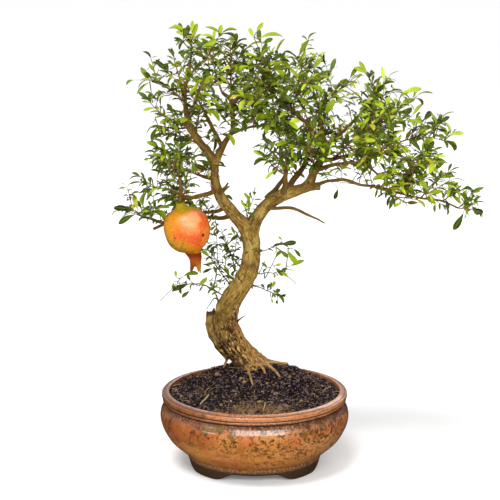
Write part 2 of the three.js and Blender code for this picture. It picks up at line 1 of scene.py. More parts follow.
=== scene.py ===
"""Pomegranate bonsai: an old leaning tree with a ripening fruit, in a round glazed pot on bracket feet.

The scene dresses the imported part, in its own frame: metres, +Z up, the front towards -Y. The tables give
millimetres from the pot's axis, and their heights start 3 mm under the pot's feet.
"""

import math
import random

import bmesh
import bpy
from mathutils import Matrix, Vector, noise
from mathutils.kdtree import KDTree


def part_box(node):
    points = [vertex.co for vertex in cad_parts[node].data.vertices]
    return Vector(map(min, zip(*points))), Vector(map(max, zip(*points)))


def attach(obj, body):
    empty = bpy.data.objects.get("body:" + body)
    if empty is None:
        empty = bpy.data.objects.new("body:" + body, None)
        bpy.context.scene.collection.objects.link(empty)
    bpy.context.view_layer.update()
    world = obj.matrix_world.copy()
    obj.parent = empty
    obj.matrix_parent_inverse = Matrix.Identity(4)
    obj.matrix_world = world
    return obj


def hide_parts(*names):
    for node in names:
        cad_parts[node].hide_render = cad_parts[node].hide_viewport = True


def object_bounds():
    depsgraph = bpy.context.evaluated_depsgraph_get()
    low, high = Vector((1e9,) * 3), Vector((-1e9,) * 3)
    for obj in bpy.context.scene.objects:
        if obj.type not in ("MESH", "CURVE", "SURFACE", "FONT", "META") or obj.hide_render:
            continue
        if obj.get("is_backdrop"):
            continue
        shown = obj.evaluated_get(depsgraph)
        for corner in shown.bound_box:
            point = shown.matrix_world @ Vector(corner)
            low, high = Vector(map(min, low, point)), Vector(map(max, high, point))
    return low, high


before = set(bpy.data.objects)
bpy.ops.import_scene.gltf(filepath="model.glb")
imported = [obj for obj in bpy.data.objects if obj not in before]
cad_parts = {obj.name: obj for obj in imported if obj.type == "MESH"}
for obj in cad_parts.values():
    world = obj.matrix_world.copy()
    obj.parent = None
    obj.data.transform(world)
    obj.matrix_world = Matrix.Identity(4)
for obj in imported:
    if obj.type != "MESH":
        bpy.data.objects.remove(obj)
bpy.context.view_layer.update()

# ---- Pot -----------------------------------------------------------------------------------------
# Stoneware thrown in one piece: a flat lip with a grooved face, a round belly, a foot ring and four
# bracket feet cut from it. An orange-brown glaze with olive specks covers it down to the bare dark foot.

pot_low, pot_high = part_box("pot")
POT_AXIS = Vector(((pot_low.x + pot_high.x) / 2, (pot_low.y + pot_high.y) / 2, 0))
UNDER_FEET = 3  # mm


def from_pot(x, y, z):
    """A place that a table gives in millimetres, in the frame's metres."""
    return POT_AXIS + Vector((x, y, z - UNDER_FEET)) / 1000


def through(points, steps):
    """Points on a smooth curve through those given, so many steps to each span."""
    points = [Vector(p) for p in points]
    fine = []
    for i in range(len(points) - 1):
        before = points[i - 1] if i else points[0] * 2 - points[1]
        after = points[i + 2] if i + 2 < len(points) else points[-1] * 2 - points[-2]
        for k in range(steps):
            t = k / steps
            start, end = (points[i + 1] - before) / 2, (after - points[i]) / 2
            fine.append(
                points[i]
                + start * t
                + (points[i + 1] * 3 - points[i] * 3 - start * 2 - end) * t**2
                + (points[i] * 2 - points[i + 1] * 2 + start + end) * t**3
            )
    return fine + [points[-1]]


def skin(name, rings, endless=False):
    """A closed skin over rings of points. Its ends meet if it is endless, or close on their middles."""
    sides = len(rings[0])
    points = [p for ring in rings for p in ring]
    faces = []
    for i in range(len(rings) if endless else len(rings) - 1):
        here, there = i * sides, (i + 1) % len(rings) * sides
        for j in range(sides):
            k = (j + 1) % sides
            faces.append((here + j, here + k, there + k, there + j))
    if not endless:
        for ring, order in ((0, -1), (len(rings) - 1, 1)):
            points.append(sum(rings[ring], Vector((0, 0, 0))) / sides)
            for j in range(sides):
                fan = [ring * sides + j, ring * sides + (j + 1) % sides, len(points) - 1]
                faces.append(fan[::order])
    mesh = bpy.data.meshes.new(name)
    mesh.from_pydata(points, [], faces)
    solid = bmesh.new()
    solid.from_mesh(mesh)
    bmesh.ops.recalc_face_normals(solid, faces=solid.faces)
    solid.to_mesh(mesh)
    solid.free()
    mesh.shade_smooth()
    return mesh


def piece(name, mesh, material=None):
    made = bpy.data.objects.new(name, mesh)
    bpy.context.scene.collection.objects.link(made)
    if material:
        mesh.materials.clear()
        mesh.materials.append(material)
    return made


LIP = [
    (114.8, 99), (114.8, 105.4), (115.2, 107), (116.2, 107.6), (118.4, 107.3), (121.2, 106.4), (122.1, 105.8),
    (122.6, 105.1), (123.2, 105.5), (124.2, 105.4), (125, 104.4), (125.2, 101), (124.8, 99.8), (124, 99.2),
    (123.3, 98.5), (123.8, 97.9), (124.2, 96.6), (124, 95.4), (123.2, 94.6), (122.4, 93.8),
]
# How dark the glaze is painted at a step of the outline: glaze pooled in the grooves, and painted shade in the lip's
# grooves and under its overhang.
GROOVES = {6: 0.55, 7: 1, 8: 0.7, 12: 0.3, 13: 0.85, 14: 1, 15: 0.6, 18: 0.7, 19: 1}
BELLY = [
    (122.3, 91.8), (123, 88.6), (124.6, 84.8), (126.3, 80.8), (127.3, 76), (127.4, 72), (126.7, 66.5), (124.6, 59.5),
    (120.4, 51), (114.5, 42), (106, 34), (98.4, 27.6),
]
RING = [(95.6, 25.4), (93.6, 24.4), (92, 24.2), (91.2, 23.4), (91, 22), (90.8, 19)]
INSIDE = [(76.6, 17), (45, 17), (13.6, 17), (13, 17.6), (13, 24.4), (13.6, 25), (60, 25), (82, 25), (90, 29.5)]
WALL = [(108, 46), (118.5, 70), (117.6, 82), (115.2, 92)]
FEET = (40, 140, 220, 320)  # degrees
FOOT_EDGE = [(0, 3), (10, 3), (14, 3.5), (18, 5), (22, 7.6), (25.5, 10.4), (28.5, 12.9), (31, 14), (45, 14)]


def foot_bottom(degrees):
    """Height of the foot ring's lower edge at an angle round the pot."""
    away = min(abs((degrees - foot + 180) % 360 - 180) for foot in FEET)
    for (a, low), (b, high) in zip(FOOT_EDGE, FOOT_EDGE[1:]):
        if away <= b:
            return low + (high - low) * (away - a) / (b - a)
    return FOOT_EDGE[-1][1]


def pot_outline(degrees):
    low = foot_bottom(degrees)
    drop = (14 - low) / 11
    foot = [
        (90.4, 16), (90 - 0.8 * drop, low + 1.8), (89.4 - 0.8 * drop, low + 0.6), (88 - 0.8 * drop, low),
        (83, low), (78.2, low), (77, low + 0.5), (76.4, low + 1.6), (76.3, 15.6),
    ]
    belly = [(p.x, p.y) for p in through([(r, z, 0) for r, z in BELLY], 3)]
    return LIP + belly + RING + foot + INSIDE + WALL


POT_SIDES = 240
outlines = []
for i in range(POT_SIDES):
    turn = 2 * math.pi * i / POT_SIDES
    ring = []
    for r, z in pot_outline(360 * i / POT_SIDES):
        sway = 0.25 * noise.noise(Vector((math.cos(turn) * 1.3, math.sin(turn) * 1.3, z / 40)))
        ring.append(from_pot((r + sway) * math.cos(turn), (r + sway) * math.sin(turn), z))
    outlines.append(ring)


def paint(colour):
    """A colour written as in a paint chart, such as b6753f, as linear red, green and blue."""
    levels = [int(colour[i : i + 2], 16) / 255 for i in (0, 2, 4)]
    return (*[c / 12.92 if c < 0.04045 else ((c + 0.055) / 1.055) ** 2.4 for c in levels], 1)


def node(tree, kind, inputs=None, **settings):
    """A node with its settings; each input is given a value, or the output that feeds it."""
    made = tree.nodes.new(kind)
    for key, value in settings.items():
        setattr(made, key, value)
    for key, value in (inputs or {}).items():
        if isinstance(value, bpy.types.NodeSocket):
            tree.links.new(value, made.inputs[key])
        else:
            made.inputs[key].default_value = value
    return made


def finish_of(name, roughness, **sockets):
    """A new material's node tree and its shader, with the shader's own sockets set."""
    made = bpy.data.materials.new(name)
    made.use_nodes = True
    shader = made.node_tree.nodes["Principled BSDF"]
    shader.inputs["Roughness"].default_value = roughness
    for key, value in sockets.items():
        shader.inputs[key.replace("_", " ")].default_value = value
    return made, made.node_tree, shader


def mottle(where, scale, detail=3, rough=0.55, twist=0.0):
    """How strong a cloudy pattern is, from 0 to 1."""
    settings = {"Vector": where, "Scale": scale, "Detail": detail, "Roughness": rough, "Distortion": twist}
    return node(where.id_data, "ShaderNodeTexNoise", settings).outputs[0]


def between(value, low, high, out_low=0.0, out_high=1.0):
    """A value that runs from low to high, eased on to a new range."""
    settings = {0: value, 1: low, 2: high, 3: out_low, 4: out_high}
    return node(value.id_data, "ShaderNodeMapRange", settings, interpolation_type="SMOOTHSTEP").outputs[0]


def reckoned(operation, value, *others):
    """The result of one step of arithmetic with a value and the others."""
    inputs = dict(enumerate((value, *others)))
    return node(value.id_data, "ShaderNodeMath", inputs, operation=operation).outputs[0]


def steered(operation, place, *others):
    """The same for places and directions."""
    inputs = dict(enumerate((place, *others)))
    made = node(place.id_data, "ShaderNodeVectorMath", inputs, operation=operation)
    return made.outputs["Value" if operation in ("DOT_PRODUCT", "DISTANCE", "LENGTH") else "Vector"]


def times(value, *others):
    for other in others:
        value = reckoned("MULTIPLY", value, other)
    return value


def larger(a, b):
    return reckoned("MAXIMUM", a, b)


def over(share, under, top):
    """One colour laid over another by a share."""
    return node(share.id_data, "ShaderNodeMix", {0: share, 6: under, 7: top}, data_type="RGBA").outputs[2]


def shaded(value, low, high, dark, light):
    """A colour that runs from one paint to another as a value does."""
    return over(between(value, low, high), paint(dark), paint(light))


def coated(colour, *coats):
    """A colour with coats laid over it in turn, each a share and a paint or another colour."""
    for share, top in coats:
        colour = over(share, colour, paint(top) if isinstance(top, str) else top)
    return colour


def fed(shader, **outputs):
    """Feeds outputs to a shader's sockets."""
    for key, output in outputs.items():
        shader.id_data.links.new(output, shader.inputs[key.replace("_", " ")])


def relief(height, depth, strength=1.0, below=None):
    """A bump of a pattern, so many metres deep."""
    settings = {"Height": height, "Distance": depth, "Strength": strength}
    if below:
        settings["Normal"] = below
    return node(height.id_data, "ShaderNodeBump", settings).outputs[0]


def own_place(tree, centre=(0, 0, 0)):
    """Where a point of the piece lies, from a centre."""
    place = node(tree, "ShaderNodeTexCoord").outputs["Object"]
    shifted = {"Vector": place, "Location": tuple(-c for c in centre)}
    return node(tree, "ShaderNodeMapping", shifted).outputs[0]


def carried(tree, name, output="Fac"):
    """What the piece's own points carry under a name."""
    return node(tree, "ShaderNodeAttribute", attribute_name=name).outputs[output]


def axes_of(place):
    return node(place.id_data, "ShaderNodeSeparateXYZ", {0: place}).outputs


def ruffled(where, scale, depth):
    """Places pushed about by a cloudy pattern, so that what is drawn on them has a ragged edge."""
    cloud = {"Vector": where, "Scale": scale, "Detail": 3}
    push = node(where.id_data, "ShaderNodeTexNoise", cloud).outputs["Color"]
    push = steered("SUBTRACT", push, (0.5, 0.5, 0.5))
    return steered("MULTIPLY_ADD", push, (depth, depth, depth), where)


def blot(where, centre, size):
    """How strong a round spot is, from its middle out to its size."""
    return between(steered("DISTANCE", where, centre), size, size * 0.6)


def edges(where, scale):
    """How far a place is from the lines between the cells of a crazed surface."""
    settings = {"Vector": where, "Scale": scale}
    return node(where.id_data, "ShaderNodeTexVoronoi", settings, feature="DISTANCE_TO_EDGE").outputs[0]


OLIVE_POOLS = [
    (-63, -105, 80, 9), (-52, -112, 83, 7), (-44, -116, 84, 6), (-31, -122, 75, 5), (65, -106, 74, 8),
    (74, -100, 73, 6), (90, -85, 78, 5), (-98, 74, 80, 8), (30, 122, 82, 9), (110, 55, 76, 7),
]  # x, y, z and size in millimetres
RUNS = [(98, -78, 82, 46), (-20, 125, 84, 50)]

glaze, tree, shader = finish_of(
    "orange_brown_glaze", 0.34, Coat_Weight=1.0, Coat_Roughness=0.06, Specular_IOR_Level=0.3
)
place = own_place(tree, POT_AXIS)
across, _, height = axes_of(place)
ragged = ruffled(place, 110, 0.012)
streaks = mottle(place, 70, 5, 0.65, 0.6)
flush = times(between(height, 0.062, 0.07), between(mottle(place, 32, 3), 0.42, 0.58, 0, 0.6))
# A darker red-brown patch on the upper belly at the front left.
left_front_dark = times(blot(ragged, (-0.095, -0.085, 0.068), 0.06), between(height, 0.046, 0.062, 0, 0.6))
rim = between(height, 0.0915, 0.0935)
neck = times(between(height, 0.076, 0.088), between(height, 0.0945, 0.0925))
grains = mottle(place, 420, 4, 0.7)
pepper = between(mottle(place, 560, 3, 0.6), 0.56, 0.64)
rightward = reckoned("MULTIPLY_ADD", mottle(place, 14, 2), 0.12, across)
strokes = times(
    between(edges(ragged, 125), 0.15, 0.06),
    between(mottle(place, 190, 3, 0.6), 0.46, 0.55),
    between(rightward, 0.015, 0.085, 0.3, 1),
)
bands = times(between(height, 0.04, 0.066, 0.15, 1), between(height, 0.094, 0.08, 0.6, 1))
specks = between(mottle(ragged, 165, 4, 0.62, 0.9), 0.52, 0.565)
patchy = between(mottle(place, 38, 3), 0.38, 0.52)
drawn = node(tree, "ShaderNodeMapping", {"Vector": place, "Scale": (1, 1, 0.07)}).outputs[0]
spilt = [blot(place, (x / 1000, y / 1000, z / 1000), size / 1000) for x, y, z, size in RUNS]
runs = times(
    between(mottle(drawn, 230, 3, 0.6), 0.5, 0.6),
    larger(*spilt),
    between(height, 0.068, 0.078),
    between(height, 0.095, 0.092),
    0.8,
)
pools = [blot(ragged, (x / 1000, y / 1000, z / 1000), size / 1000) for x, y, z, size in OLIVE_POOLS]
dust = between(mottle(place, 620, 3, 0.6), 0.55, 0.66, 0, 0.6)
base = between(height, 0.0285, 0.0205)
colour = coated(
    shaded(mottle(place, 20, 4), 0.3, 0.68, "9a5019", "b4752e"),
    (between(streaks, 0.42, 0.68, 0, 0.5), "ce8a4c"),
    (between(across, 0.02, 0.1, 0, 0.5), "b98550"),
    (flush, "b0501f"),
    (left_front_dark, "84380e"),
    (times(rim, 0.85), shaded(across, -0.09, -0.03, "854b24", "b67345")),
    (times(neck, 0.6), "a8745a"),
    (times(neck, between(grains, 0.4, 0.52), 0.85), "35190d"),
    (times(pepper, rim, 0.7), "4f2413"),
    (times(strokes, between(height, 0.094, 0.09), 0.85), "3a240c"),
    (times(specks, bands, patchy, 0.92), "3c2a0a"),
    (runs, "3e1b0b"),
    *[(times(pool, 0.85), "654905") for pool in pools],
    (dust, "5c3717"),
    # painted shade with pooled glaze: the steps of the lip and the undercut below it are darkened
    (between(carried(tree, "pooled_and_shaded"), 0.2, 0.8, 0, 0.9), "24120a"),
    (times(base, 0.85), "9a6636"),
    (times(base, between(grains, 0.42, 0.56), 0.8), "2b1a0d"),
    (between(height, 0.0175, 0.0125), "3a260e"),
)
bumps = relief(mottle(place, 520, 3), 0.0002, 0.5)
bumps = relief(specks, 0.0002, 0.5, bumps)
bumps = relief(streaks, 0.0004, 0.4, bumps)
fed(shader, Base_Color=colour, Normal=bumps, Coat_Normal=bumps)
fed(shader, Coat_Weight=between(height, 0.016, 0.024), Roughness=between(height, 0.024, 0.016, 0.34, 0.75))

pot_mesh = skin("glazed_pot", outlines, endless=True)
# each point's darkness at a step: pooled glaze, and painted shade under the lip
pooled_and_shaded = pot_mesh.attributes.new("pooled_and_shaded", "FLOAT", "POINT")
around = len(outlines[0])
pooled_and_shaded.data.foreach_set("value", [float(GROOVES.get(i % around, 0)) for i in range(len(pot_mesh.vertices))])
pot = piece("glazed_pot", pot_mesh, glaze)
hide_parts("pot")
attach(pot, "root")

# ---- Drain screen --------------------------------------------------------------------------------
# A square of black plastic mesh, cut from a sheet, lying loose on the pot's floor over the drain hole.
# The soil holds it down.

plastic, tree, shader = finish_of("black_plastic", 0.55)
grain = mottle(own_place(tree), 900, 2)
fed(shader, Base_Color=shaded(grain, 0.3, 0.7, "191b17", "272a22"), Normal=relief(grain, 0.0001))
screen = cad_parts["drain_screen"]
screen.data.materials.clear()
screen.data.materials.append(plastic)

# ---- Roots, trunk and branches -------------------------------------------------------------------
# The tree's wood, grown in one piece: surface roots, a leaning trunk with a sawn stump at its foot, two
# limbs and their boughs. The bark is tan, smooth above and rough and flaking towards the soil.

LIMBS = {
    "trunk": [
        (12, 50, 86, 25), (1, 48, 118, 21.3), (-14, 46, 140, 17.8), (-28, 43, 161, 16.3),
        (-37, 39, 183, 15.8), (-38, 36, 203, 15.4), (-32, 33, 222, 14.4), (-23, 30, 237, 13.7),
        (-14, 28, 252, 12.8), (-7, 26, 268, 12.1), (-4, 24, 285, 11.8), (-4, 22, 302, 11.7),
        (-7, 20, 317, 12.4), (-9, 19, 327, 10),
    ],
    "sawn_stump": [(-30, 50, 143, 12), (-48, 52, 163, 10.5), (-58, 53, 182, 9), (-58, 54, 201, 6.5)],
    "stump_splinter": [(-57, 54, 194, 4.5), (-55, 53, 207, 1.2)],
    "stump_point": [(-62, 52, 192, 3.5), (-64, 51, 204, 1)],
    "left_limb": [
        (-6, 20, 313, 10.2), (-15, 17, 331, 9.4), (-27, 15, 345, 8.3), (-37, 13, 358, 8),
        (-46, 11, 371, 7.4), (-51, 9, 384, 6.5), (-53, 8, 400, 5.8), (-53, 8, 419, 5.8),
    ],
    "left_bough": [
        (-53, 8, 413, 5.7), (-61, 5, 429, 5.4), (-70, 2, 442, 5.1), (-78, -1, 454, 5.1),
        (-85, -4, 467, 5.3), (-88, -6, 480, 4.5), (-90, -8, 492, 3.3), (-91, -10, 505, 2.5),
        (-90, -12, 520, 2.2), (-86, -13, 534, 2.1), (-84, -14, 548, 2), (-83, -14, 559, 1.6),
    ],
    "mid_bough": [
        (-53, 8, 411, 5.3), (-49, 10, 423, 5), (-45, 12, 433, 4.5), (-36, 17, 447, 3.4), (-29, 20, 456, 3),
    ],
    "mid_bough_left": [(-43, 13, 437, 3.2), (-52, 19, 454, 2.7), (-63, 25, 475, 2.2), (-74, 31, 497, 1.3)],
    "mid_bough_right": [(-30, 19, 454, 2.6), (-13, 8, 462, 1.8), (4, -1, 467, 1.5), (21, -9, 472, 1.3)],
    "mid_bough_up": [
        (-30, 20, 454, 2.9), (-29, 22, 468, 2.9), (-30, 24, 487, 3.8), (-31, 25, 497, 3.3),
        (-43, 25, 508, 1.8),
    ],
    "mid_bough_fork": [(-31, 24, 491, 3.4), (-23, 20, 500, 2.6), (-1, 5, 520, 1.4)],
    "right_limb": [
        (-7, 20, 313, 10.5), (-1, 20, 331, 10.2), (7, 19, 346, 9.1), (18, 18, 359, 8.4), (31, 16, 368, 8.4),
        (45, 14, 375, 8.1), (59, 11, 379, 7), (72, 9, 383, 5.6), (87, 8, 384, 4.2),
    ],
    "right_riser": [
        (62, 10, 380, 6.2), (72, 9, 390, 6), (78, 8, 401, 5.4), (83, 7, 411, 5.3), (88, 6, 421, 5),
        (94, 4, 432, 4.5), (94, 2, 447, 3.9),
    ],
    "crown_diagonal": [
        (93, 3, 443, 3), (83, -3, 452, 2.5), (67, -12, 473, 2.2), (50, -18, 488, 1.8), (29, -24, 507, 1.5),
        (19, -27, 516, 1.3),
    ],
    "crown_upright": [(93, 2, 445, 3.4), (89, 8, 459, 2.6), (86, 18, 483, 1.8), (84, 22, 493, 1.5)],
    "crown_right": [(94, 3, 440, 3.4), (104, 10, 447, 2.5), (125, 24, 463, 1.9), (142, 35, 479, 1.5)],
    "rear_bough": [
        (43, 17, 378, 4.7), (52, 24, 390, 4), (67, 38, 409, 3.5), (72, 49, 429, 3.1), (66, 53, 437, 2.3),
        (47, 59, 448, 1.6),
    ],
    "rear_bough_up": [(72, 47, 425, 2.8), (74, 57, 446, 2.1), (72, 66, 463, 1.5)],
    "front_bough": [
        (39, 8, 376, 4.2), (40, 2, 389, 3.4), (40, -7, 410, 3), (34, -15, 430, 1.8), (33, -23, 452, 1.3),
    ],
    "slanting_bough": [(16, 20, 366, 4.2), (31, 29, 380, 3.2), (43, 37, 399, 2.3), (42, 45, 418, 1.5)],
    "low_branch": [
        (76, 8, 385, 3.4), (94, -3, 393, 2.3), (116, -15, 398, 2.2), (139, -25, 393, 1.8),
        (165, -33, 391, 1.6), (191, -38, 384, 1.6), (217, -40, 378, 1.4), (243, -42, 375, 1.3),
        (265, -42, 366, 1.1),
    ],
    "right_branch": [
        (84, 7, 408, 3.8), (103, -13, 417, 2.6), (126, -30, 423, 2.2), (147, -43, 420, 1.7),
        (167, -50, 405, 1.2),
    ],
    "upper_right_branch": [
        (89, 6, 421, 3.6), (100, 14, 420, 2.9), (127, 27, 423, 2.3), (154, 36, 428, 1.8),
        (181, 41, 431, 1.4),
    ],
    "dead_spike": [(-24, 38, 191, 1.4), (-20, 36, 195, 1), (-12, 33, 202, 0.4)],
    "dead_thread": [(-48, 40, 219, 1.2), (-55, 42, 223, 0.8), (-66, 48, 206, 0.4)],
    "dead_twig": [
        (18, 14, 356, 4), (27, 8, 355, 2.4), (50, -6, 358, 2.2), (69, -16, 352, 1.8), (92, -26, 342, 0.8),
    ],
    "fruit_branch": [
        (-51, 8, 380, 4.2), (-60, -2, 377, 3), (-85, -26, 376, 2.6), (-94, -36, 378.5, 3),
        (-96, -41, 388, 2.6), (-97, -44, 407, 2.2),
    ],
    "fruit_stalk": [(-95.5, -40.5, 381, 2.8), (-97, -42, 377, 2.5), (-97, -42, 373.5, 2.3)],
    "left_rear_branch": [
        (-31, 16, 344, 3.9), (-44, 27, 338, 2.9), (-73, 44, 335, 2.6), (-112, 54, 327, 2.4),
        (-124, 56, 325, 2.3), (-143, 57, 332, 1.8), (-152, 56, 333, 1.5),
    ],
    "left_rear_twig": [(-41, 14, 354, 3.2), (-53, 24, 347, 2.4), (-80, 41, 342, 1.8)],
    "cut_spur": [(-121, 55, 324, 2.2), (-137, 50, 318, 1.9)],
    "upper_left_spur": [(-52, 8, 395, 3.7), (-60, 14, 395, 2.7), (-77, 26, 397, 1.6)],
    "front_spur": [(-47, 6, 376, 3.2), (-40, -2, 385, 1.6), (-35, -6, 392, 1.2)],
    "bud_spur": [(-56, 7, 420, 2.6), (-60, -2, 417, 1.4), (-67, -8, 414, 1.1)],
    "root_right": [
        (-4, 46, 138, 10), (12, 48, 134, 5.5), (22, 51, 130.5, 3.4), (34, 55, 127.5, 2.8),
        (46, 59, 125, 2.3),
    ],
    "root_right_front": [(2, 40, 136, 8), (16, 33, 132, 2.4), (27, 26, 126.5, 1.9), (37, 18, 117, 1.5)],
    "root_fork": [(2, 38, 137, 6), (8, 32, 131.5, 2.2), (13, 26, 126, 1.8), (15, 18, 118, 1.4)],
    "root_front": [
        (-14, 38, 137, 5.5), (-10, 29, 127.5, 2.4), (-6, 14, 120.5, 1.7), (-3, -2, 114, 1.4),
        (-1, -18, 106, 1.2),
    ],
    "root_left": [(-28, 44, 147, 6), (-37, 46, 137, 2.3), (-41, 47, 127, 1.9), (-44, 47, 116, 1.6)],
    "root_left_rear": [(-8, 54, 134, 10), (-24, 64, 125.5, 5), (-38, 73, 115, 3), (-48, 80, 103, 2.2)],
}

THICK = (
    "trunk", "sawn_stump", "stump_splinter", "stump_point", "left_limb", "left_bough", "mid_bough",
    "right_limb", "right_riser", "root_right", "root_right_front", "root_fork", "root_front",
    "root_left", "root_left_rear",
)  # fmt: skip
CROOK_PLACES = ((9.3, -1.5, -8), (0, 0, 0), (6.3, 0.2, -2.7))  # where each direction reads the noise


def on_limb(name, share):
    """The place at a share of the way along a limb, in millimetres, with the limb's radius there."""
    route = [Vector(p) for p in LIMBS[name]]
    spans = len(route) - 1
    i = min(int(share * spans), spans - 1)
    t = share * spans - i
    here, there = route[i], route[i + 1]
    before = route[i - 1] if i else here * 2 - there
    after = route[i + 2] if i + 2 <= spans else there * 2 - here
    start, end = (there - before) / 2, (after - here) / 2
    bend = (there * 3 - here * 3 - start * 2 - end) * t**2
    spot = here + start * t + bend + (here * 2 - there * 2 + start + end) * t**3
    crook = [0.9 * noise.noise(spot.xyz / 13 + Vector(aside)) for aside in CROOK_PLACES]
    return spot + Vector((*crook, 0))


def limb_rings(name, number, spacing, sides, furrow):
    """Rings round a limb, and for each of their points its place on the bark: along, around, radius."""
    route = LIMBS[name]
    length = sum((Vector(b[:3]) - Vector(a[:3])).length for a, b in zip(route, route[1:]))
    count = max(4, round(length / spacing))
    stations = [on_limb(name, i / count) for i in range(count + 1)]
    rings, grain = [], []
    along = 0.0
    across = Vector((0, -1, 0.2))
    for i, station in enumerate(stations):
        at, radius = station.xyz, station.w
        ahead = (stations[min(i + 1, count)].xyz - stations[max(i - 1, 0)].xyz).normalized()
        across = (across - ahead * across.dot(ahead)).normalized()
        beside = ahead.cross(across)
        along += (at - stations[max(i - 1, 0)].xyz).length
        ring = []
        for j in range(sides):
            angle = 2 * math.pi * j / sides
            out = across * math.cos(angle) + beside * math.sin(angle)
            flat = Vector((math.cos(angle), math.sin(angle), 0))
            muscle = noise.noise(flat * 1.1 + Vector((0, 0, along / 55 + 11 * number)))
            ridge = noise.noise(flat * radius / 2.6 + Vector((0, 0, along / 15 + 7 * number)))
            knot = max(0, noise.noise(out * 0.4 + at / 14)) ** 2
            thick = radius * (1 + 0.1 * muscle + 0.25 * knot) + furrow * ridge
            ring.append(from_pot(*(at + out * thick)))
            grain.append((along / 1000, radius * math.cos(angle) / 1000, radius * math.sin(angle) / 1000))
        rings.append(ring)
    return rings, grain


def merged(name, meshes):
    """One mesh of several."""
    whole = bmesh.new()
    for mesh in meshes:
        whole.from_mesh(mesh)
    made = bpy.data.meshes.new(name)
    whole.to_mesh(made)
    whole.free()
    return made


def joined_mesh(name, parts):
    """One mesh of several, each a mesh and the values of its points' place on the bark."""
    made = merged(name, [mesh for mesh, _ in parts])
    made.shade_smooth()
    values = []
    for mesh, grain in parts:
        values += grain + [grain[0], grain[-1]]
        bpy.data.meshes.remove(mesh)
    return made, values


def keep_grain(mesh, values):
    """Writes each point's place on the bark into the mesh, for the bark's pattern to follow."""
    attribute = mesh.attributes.new("grain", "FLOAT_VECTOR", "POINT")
    attribute.data.foreach_set("vector", [x for value in values for x in value])


def settled(made):
    """Turns what a piece's modifiers make into its own plain mesh."""
    graph = bpy.context.evaluated_depsgraph_get()
    grown_shape = made.evaluated_get(graph)
    mesh = bpy.data.meshes.new_from_object(grown_shape, preserve_all_data_layers=True, depsgraph=graph)
    made.modifiers.clear()
    made.data = mesh
    return made


bark, tree, shader = finish_of("tan_bark", 0.8, Specular_IOR_Level=0.2)
place = own_place(tree, POT_AXIS)
height = axes_of(place)[2]
grain = carried(tree, "grain", "Vector")
rise = carried(tree, "rise")
fibres = mottle(steered("MULTIPLY", grain, (75, 420, 420)), 1, 5, 0.72, 0.5)
flakes = mottle(steered("MULTIPLY", grain, (150, 370, 370)), 1, 4, 0.7, 0.8)
drawn = steered("MULTIPLY", grain, (110, 210, 210))
bent = node(tree, "ShaderNodeTexNoise", {"Vector": drawn, "Scale": 0.9, "Detail": 3}).outputs[1]
plates = edges(steered("MULTIPLY_ADD", bent, (1.6, 1.6, 1.6), drawn), 1.0)
cracks = between(plates, 0.16, 0.02)
blotches = mottle(place, 42, 4, 0.62)
slope = reckoned("MULTIPLY_ADD", mottle(place, 60, 3), 0.06, steered("DOT_PRODUCT", place, (-1.6, 0, 1)))
old = times(between(slope, 0.29, 0.265), between(height, 0.26, 0.22))
ragged = ruffled(place, 70, 0.02)
stump_wood = blot(ragged, (-0.06, 0.048, 0.178), 0.03)
stump_top = blot(ruffled(place, 120, 0.012), (-0.058, 0.052, 0.202), 0.012)
scars = larger(blot(ragged, (-0.025, 0.024, 0.184), 0.018), blot(ragged, (-0.019, 0.028, 0.202), 0.012))
# How far the bark turns up and to the right, towards the light, for painted light and shade
facing = steered("DOT_PRODUCT", node(tree, "ShaderNodeNewGeometry").outputs["Normal"], (0.55, 0, 0.85))
lenticels = between(mottle(place, 130, 2, 0.4), 0.665, 0.71)
girth = steered("LENGTH", steered("MULTIPLY", grain, (0, 1, 1)))
rooted = times(between(girth, 0.0075, 0.005), between(height, 0.16, 0.14))
colour = coated(
    shaded(fibres, 0.36, 0.62, "5c4216", "a0823c"),
    (between(mottle(place, 28, 3), 0.5, 0.66, 0, 0.6), "bca055"),
    (between(blotches, 0.52, 0.6, 0, 0.6), "6a4c1a"),
    (times(cracks, between(blotches, 0.4, 0.6), 0.6), "45300f"),
    (times(old, 0.7), "946832"),
    (times(old, between(flakes, 0.48, 0.58), 0.9), "e0b064"),
    (times(old, between(rise, 0.05, 0.4), 0.6), "e0b36c"),
    (times(old, between(flakes, 0.46, 0.39), 0.9), "33190a"),
    (times(old, between(rise, -0.16, -0.5), 0.8), "241308"),
    (times(old, cracks, 0.65), "2a1408"),
    (times(stump_wood, 0.25), "c8a05c"),
    (times(stump_top, 0.85), "3a2914"),
    # painted shade: the crevice between the stump and the trunk, and the deepest cracks, painted near black
    (between(rise, -0.8, -1.2, 0, 0.9), "22120a"),
    (times(scars, between(flakes, 0.62, 0.46), 0.9), "351c0c"),
    # painted light: old bark turned up and to the right is painted golden
    (times(old, between(facing, 0.1, 0.8), 0.4), "dda452"),
    # painted shade: bark near the foot turned down and to the left is painted dark
    (times(between(facing, 0.05, -0.6), between(height, 0.19, 0.15), 0.65), "22120a"),
    (times(lenticels, 0.85), "33220c"),
    (times(between(girth, 0.0085, 0.003), between(height, 0.13, 0.2), 0.75), "573c12"),
    (times(rooted, 0.9), shaded(fibres, 0.35, 0.65, "8a6238", "d8ad74")),
)
depth = between(height, 0.26, 0.14, 0.2, 1)
bumps = relief(fibres, 0.0009, 0.8)
bumps = relief(times(flakes, depth), 0.0026, 1.0, bumps)
bumps = relief(times(between(plates, 0.0, 0.2), depth), 0.0016, 0.9, bumps)
fed(shader, Base_Color=colour, Normal=bumps)

